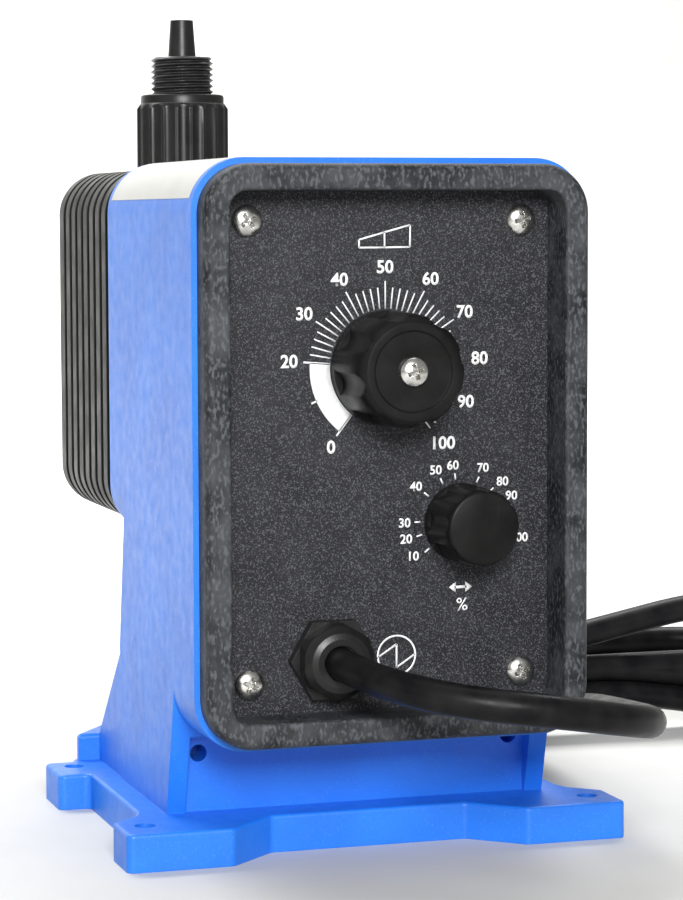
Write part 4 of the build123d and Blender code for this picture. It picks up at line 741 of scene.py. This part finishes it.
# --- Valve cartridges ----------------------------------------------------------------
HEAD_HALF = 52.0
PORT_DEPTH = 272.0
CARTRIDGE_R = 18.3
CARTRIDGE_TALL = 41.0
COLLAR_R = 16.6
COLLAR_TALL = 3.6
THREAD_CREST_R = 12.45
THREAD_ROOT_R = 11.1
THREAD_PITCH = 2.24
THREAD_TALL = 14.8
FLUTES = 20
FLUTE_HALF = math.radians(6.4)
FLUTE_DEEP = 0.95
SHANK_R = 14.5
SHANK_TALL = 15.0
POCKET_R = 8.2               # holds the seat, ball and guide
POCKET_TALL = 17.184
OUTLET_R = 3.5
NOZZLE_FLANGE_R = 9.15
NOZZLE_FLANGE = 3.0
THREAD_START = CARTRIDGE_TALL + COLLAR_TALL
THREAD_END = THREAD_START + THREAD_TALL


def cartridge_surface(angle, radius, height):
    """Radius of the cartridge's outside: scooped flutes, then a rolled thread."""
    if 0 <= height <= CARTRIDGE_TALL and radius > COLLAR_R:
        pitch = 2 * math.pi / FLUTES
        away = abs((angle + 0.07) % pitch - pitch / 2) / FLUTE_HALF
        if away < 1:
            return min(radius, CARTRIDGE_R - FLUTE_DEEP * math.sqrt(1 - away * away))
        return radius
    if height > THREAD_START and radius > NOZZLE_FLANGE_R:
        turn = (height / THREAD_PITCH - angle / (2 * math.pi)) % 1
        flank = min(max((1 - abs(2 * turn - 1) - 0.08) / 0.84, 0), 1)
        reach = THREAD_ROOT_R + (THREAD_CREST_R - THREAD_ROOT_R) * flank
        return min(reach, THREAD_CREST_R - max(height - THREAD_END + 1, 0))
    return radius


def add_cartridge(name, side, node):
    """Fluted and threaded cartridge on one side (+1 up, -1 down) of the head."""
    outside = [
        (CARTRIDGE_R, 0), (CARTRIDGE_R, 8), (CARTRIDGE_R, 16), (CARTRIDGE_R, 24), (CARTRIDGE_R, 32),
        (CARTRIDGE_R, CARTRIDGE_TALL - 2.0),
    ]
    outside += [(CARTRIDGE_R - 0.23 * step, CARTRIDGE_TALL - 2 + step / 3) for step in range(1, 6)]
    outside += [
        (CARTRIDGE_R - 1.4, CARTRIDGE_TALL), (COLLAR_R, CARTRIDGE_TALL),
        (COLLAR_R, THREAD_START - 1.0), (COLLAR_R - 0.3, THREAD_START - 0.3),
        (COLLAR_R - 1.0, THREAD_START), (THREAD_ROOT_R, THREAD_START),
    ]
    rings = 56
    outside += [
        (THREAD_ROOT_R, THREAD_START + THREAD_TALL * step / rings) for step in range(1, rings + 1)
    ]
    inside = [
        (NOZZLE_FLANGE_R, THREAD_END), (NOZZLE_FLANGE_R, THREAD_END - NOZZLE_FLANGE),
        (OUTLET_R, THREAD_END - NOZZLE_FLANGE), (OUTLET_R, POCKET_TALL - SHANK_TALL),
        (POCKET_R, POCKET_TALL - SHANK_TALL), (POCKET_R, -SHANK_TALL), (SHANK_R, -SHANK_TALL),
        (SHANK_R, 0),
    ]
    shape = turned(outside + inside, 10 * FLUTES, cartridge_surface, hollow=True)
    stand = Matrix.Translation(at(0, PORT_DEPTH, AXIS_Z + side * HEAD_HALF))
    shape.transform(stand @ Matrix.Rotation(0 if side > 0 else math.pi, 4, "X"))
    made = piece(name, shape, LOOKS["cartridge_plastic"], "pump_frame")
    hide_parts(node)


add_cartridge("discharge_cartridge", 1, "discharge_valve_body")
add_cartridge("suction_cartridge", -1, "suction_valve_body")

# --- Blank label over the top of the housing --------------------------------------------
HOUSING_HALF = 65.3
HOUSING_TOP = 224.3
HOUSING_CORNER = 17.0
LABEL_THICK = 0.15
LABEL_LIFT = 0.03
LABEL_FRONT = 12.5
LABEL_REAR = 118.5
LABEL_LOW_ANGLE = 15.0       # how far round each shoulder it comes down, from level


def label_stock():
    """Blank off-white film, faintly yellowed at places and creased."""
    surface = Surface("label_stock", 0.38)
    tone = surface.noise(26, detail=4)
    surface.colour(surface.ramp(tone, (0.3, (0.47, 0.47, 0.44)), (0.7, (0.54, 0.54, 0.52))))
    surface.relief((surface.noise(18), 0.05))
    return surface.material


def add_label():
    """A thin sheet that follows the top and both shoulders of the housing."""
    span = HOUSING_HALF - HOUSING_CORNER
    line = []
    for side in (-1, 1):
        arc = []
        for step in range(13):
            angle = math.radians(LABEL_LOW_ANGLE + (90 - LABEL_LOW_ANGLE) * step / 12)
            arc.append((side, span, angle))
        line += arc if side < 0 else arc[::-1]
    shape = bmesh.new()
    rows = []
    for side, middle, angle in line:
        lift = math.sin(angle)
        # the front edge runs back a little where it meets the rim's corner
        front = LABEL_FRONT + 2.5 * max(0.0, 1 - lift) ** 2
        row = []
        for reach in (HOUSING_CORNER + LABEL_LIFT, HOUSING_CORNER + LABEL_LIFT + LABEL_THICK):
            x = side * (middle + reach * math.cos(angle))
            z = HOUSING_TOP - HOUSING_CORNER + reach * lift
            row += [shape.verts.new(at(x, depth, z)) for depth in (front, LABEL_REAR)]
        rows.append(row)
    for low, high in zip(rows, rows[1:]):
        for a, b in ((0, 1), (1, 3), (3, 2), (2, 0)):
            shape.faces.new((low[a], low[b], high[b], high[a]))
    for row in (rows[0], rows[-1]):
        shape.faces.new((row[0], row[1], row[3], row[2]))
    piece("blank_label", shape, label_stock(), "pump_frame")


add_label()

# --- Floor, backdrop and light ------------------------------------------------------


# metres
FLOOR_FRONT = -1.1
FLOOR_BACK = 3.2
BEND_R = 0.7
WALL_TOP = 3.5
STAGE_HALF = 5.0
MIDDLE = (0, 0, 0.13)
LIGHTS = [
    # name, place, target, size, power
    ("key", (-0.38, -1.6, 0.72), MIDDLE, 0.5, 38),
    ("side", (-1.5, -0.3, 0.7), MIDDLE, 0.9, 1),
    ("overhead", (0.1, 0.3, 1.6), MIDDLE, 1.2, 6),
    ("sweep", (0, 1.5, 2.0), (0, 3.0, 0.1), 2.2, 220),
]


def add_stage():
    """A pale floor that runs up into a pale backdrop."""
    surface = Surface("stage_card", 0.75)
    patches = surface.noise(60)
    surface.colour(surface.ramp(patches, (0.3, (0.55, 0.55, 0.53)), (0.7, (0.59, 0.59, 0.575))))
    profile = [(FLOOR_FRONT, 0.0), (FLOOR_BACK, 0.0)]
    for step in range(1, 13):
        angle = math.pi / 2 * step / 12
        profile.append((FLOOR_BACK + BEND_R * math.sin(angle), BEND_R - BEND_R * math.cos(angle)))
    profile.append((FLOOR_BACK + BEND_R, WALL_TOP))
    shape = bmesh.new()
    rows = [[shape.verts.new((x, y, z)) for y, z in profile] for x in (-STAGE_HALF, STAGE_HALF)]
    for step in range(len(profile) - 1):
        face = shape.faces.new((rows[0][step], rows[1][step], rows[1][step + 1], rows[0][step + 1]))
        face.smooth = True
    mesh = bpy.data.meshes.new("backdrop")
    shape.to_mesh(mesh)
    shape.free()
    backdrop = bpy.data.objects.new("backdrop", mesh)
    backdrop.data.materials.append(surface.material)
    scene.collection.objects.link(backdrop)


def add_light(name, place, target, size, power):
    """A square area light, in metres and watts, aimed at a target."""
    data = bpy.data.lights.new(name, "AREA")
    data.shape = "SQUARE"
    data.size = size
    data.energy = power
    light = bpy.data.objects.new(name, data)
    scene.collection.objects.link(light)
    light.location = place
    light.rotation_euler = (Vector(target) - Vector(place)).to_track_quat("-Z", "Y").to_euler()


def add_lights():
    """The dim room and the lamps round the pump."""
    world = bpy.data.worlds.new("room")
    world.use_nodes = True
    background = world.node_tree.nodes["Background"]
    background.inputs["Color"].default_value = (1.0, 0.99, 0.97, 1)
    background.inputs["Strength"].default_value = 0.28
    scene.world = world
    for light in LIGHTS:
        add_light(*light)


add_stage()
add_lights()

# --- Print on the control panel ---------------------------------------------------
PRINT_THICK = 0.06
STROKE_FROM = -142.5         # degrees clockwise from straight up at 0 and 100
STROKE_SPAN = 285.0
RATE_DIAL = (25.2, 108.1)
MAINS_MARK = (3.55, 65.5)
DIGIT_STROKE = 0.16          # how much bolder than the plain font


def ink():
    """Screen-printed white, a little uneven."""
    surface = Surface("white_ink", 0.5)
    patches = surface.noise(1.2, detail=4)
    surface.colour(surface.ramp(patches, (0.30, (0.72, 0.73, 0.74)), (0.65, (0.88, 0.88, 0.88))))
    surface.relief((patches, 0.01))
    return surface.material


class Print:
    """Flat shapes printed on the panel, gathered into one mesh."""

    def __init__(self):
        self.shape = bmesh.new()

    def outline(self, corners):
        """A filled shape through (x, z) corners."""
        self.shape.faces.new([self.shape.verts.new(at(x, PANEL_DEPTH, z)) for x, z in corners])

    def ring(self, centre, inner, outer, start, end, steps):
        """Part of a ring, by degrees clockwise from straight up."""
        rows = []
        for step in range(steps + 1):
            turn = math.radians(start + (end - start) * step / steps)
            corners = [
                at(centre[0] + r * math.sin(turn), PANEL_DEPTH, centre[1] + r * math.cos(turn))
                for r in (inner, outer)
            ]
            rows.append([self.shape.verts.new(corner) for corner in corners])
        for low, high in zip(rows, rows[1:]):
            self.shape.faces.new((low[0], low[1], high[1], high[0]))

    def tick(self, centre, degrees, inner, outer, wide):
        """A straight mark that points at the dial's centre."""
        turn = math.radians(degrees)
        out, side = (math.sin(turn), math.cos(turn)), (math.cos(turn), -math.sin(turn))
        self.outline([
            tuple(centre[axis] + out[axis] * r + side[axis] * s * wide / 2 for axis in (0, 1))
            for r, s in ((inner, -1), (outer, -1), (outer, 1), (inner, 1))
        ])

    def line(self, start, end, wide):
        """A straight stroke between two (x, z) points."""
        run = Vector((end[0] - start[0], end[1] - start[1])).normalized()
        side = Vector((-run.y, run.x)) * wide / 2
        self.outline([
            (start[0] + side.x, start[1] + side.y), (end[0] + side.x, end[1] + side.y),
            (end[0] - side.x, end[1] - side.y), (start[0] - side.x, start[1] - side.y),
        ])

    def words(self, text, x, z, tall, bold=DIGIT_STROKE):
        """Digits of a given height, centred on a place."""
        curve = bpy.data.curves.new("digits", "FONT")
        curve.body = text
        curve.size = 1.0
        curve.offset = bold / tall * 0.72
        curve.resolution_u = 4
        holder = bpy.data.objects.new("digits", curve)
        scene.collection.objects.link(holder)
        mesh = evaluated(holder)
        across, up = ([v.co[axis] for v in mesh.vertices] for axis in (0, 1))
        scale = tall * MM / (max(up) - min(up))
        middle = Vector(((max(across) + min(across)) / 2, (max(up) + min(up)) / 2, 0))
        mesh.transform(
            turn_to_front(x, PANEL_DEPTH, z) @ Matrix.Scale(scale, 4) @ Matrix.Translation(-middle)
        )
        self.shape.from_mesh(mesh)
        bpy.data.meshes.remove(mesh)

    def done(self, name):
        """The print as a piece a hair thick, standing on the panel."""
        shape = self.shape
        shape.normal_update()
        for face in shape.faces:
            if face.normal.y > 0:
                face.normal_flip()
        made = piece(name, shape, INK, "pump_frame", outward=False)
        solid = made.modifiers.new("thickness", "SOLIDIFY")
        solid.thickness = PRINT_THICK * MM
        solid.offset = 1.0
        return made


INK = ink()


def stroke_angle(percent):
    return STROKE_FROM + STROKE_SPAN * percent / 100


STROKE_DIGIT_R = 32.0
STROKE_DIGIT_TALL = 4.3
STROKE_ODD_DIGITS = (("0", -18.2, 133.1), ("90", 27.2, 146.6), ("100", 19.8, 133.5))
RATE_TICKS = (-129, -107, -89.5, -52, -25.6, -6.5, 24.8, 48, 66, 100)
RATE_DIGITS = [
    ("10", 9.5, 97.3), ("20", 6.9, 102.9), ("30", 6.4, 108.1), ("40", 10.2, 119.7),
    ("50", 17.0, 124.8), ("60", 22.8, 126.2), ("70", 33.1, 125.1), ("80", 39.8, 120.5),
    ("90", 42.9, 115.8), ("100", 45.9, 102.1),
]


def print_stroke_dial():
    """Ring, ticks and digits round the stroke knob."""
    dial = Print()
    centre = (0, AXIS_Z)
    dial.ring(centre, 18.5, 25.2, stroke_angle(0), stroke_angle(20), 20)
    dial.tick(centre, stroke_angle(0), 18.6, 27.0, 0.6)
    dial.tick(centre, stroke_angle(20), 18.6, 27.3, 0.6)
    dial.tick(centre, stroke_angle(10), 24.9, 27.0, 0.6)
    for percent in range(22, 101, 2):
        outer = 24.8 if percent > 70 else 27.5 if percent % 10 == 0 else 25.5
        dial.tick(centre, stroke_angle(percent), 18.7, outer, 0.45)
    for percent in (20, 30, 40, 50, 60, 70, 80):
        turn = math.radians(stroke_angle(percent))
        x, z = STROKE_DIGIT_R * math.sin(turn), AXIS_Z + STROKE_DIGIT_R * math.cos(turn)
        dial.words(str(percent), x, z, STROKE_DIGIT_TALL)
    for text, x, z in STROKE_ODD_DIGITS:
        dial.words(text, x, z, STROKE_DIGIT_TALL)
    dial.done("stroke_dial_print")


def print_rate_dial():
    """Ticks and digits round the rate knob."""
    dial = Print()
    for degrees in RATE_TICKS:
        dial.tick(RATE_DIAL, degrees, 13.5, 15.5, 0.5)
    for text, x, z in RATE_DIGITS:
        dial.words(text, x, z, 3.1, 0.10)
    dial.done("rate_dial_print")


def print_symbols():
    """The three generic signs on the panel."""
    marks = Print()
    # wedge that grows with the stroke, split in two
    corners = [(-8.7, 196.1), (-0.2, 196.1), (8.3, 196.2), (8.4, 203.2), (-0.2, 200.9), (-8.7, 198.6)]
    for start, end in zip(corners, corners[1:] + corners[:1]):
        marks.line(start, end, 0.55)
    marks.line((-0.2, 196.1), (-0.2, 200.9), 0.55)
    # double arrow over a per cent sign
    arrow_z = 86.7
    for side in (-1, 1):
        tip = 25.35 + side * 3.95
        root = tip - side * 2.3
        marks.outline([(tip, arrow_z), (root, arrow_z + 1.7), (root, arrow_z - 1.7)])
    marks.line((23.3, arrow_z), (27.4, arrow_z), 0.9)
    marks.words("%", 25.9, 81.1, 4.2, 0.03)
    # mains symbol: a circle round one angular wave
    x, z = MAINS_MARK
    marks.ring(MAINS_MARK, 6.05, 6.65, 0, 360, 60)
    wave = [(x - 6.2, z - 0.3), (x, z + 3.6), (x, z - 3.9), (x + 6.2, z + 0.1)]
    for start, end in zip(wave, wave[1:]):
        marks.line(start, end, 0.6)
    marks.done("symbol_print")


print_stroke_dial()
print_rate_dial()
print_symbols()
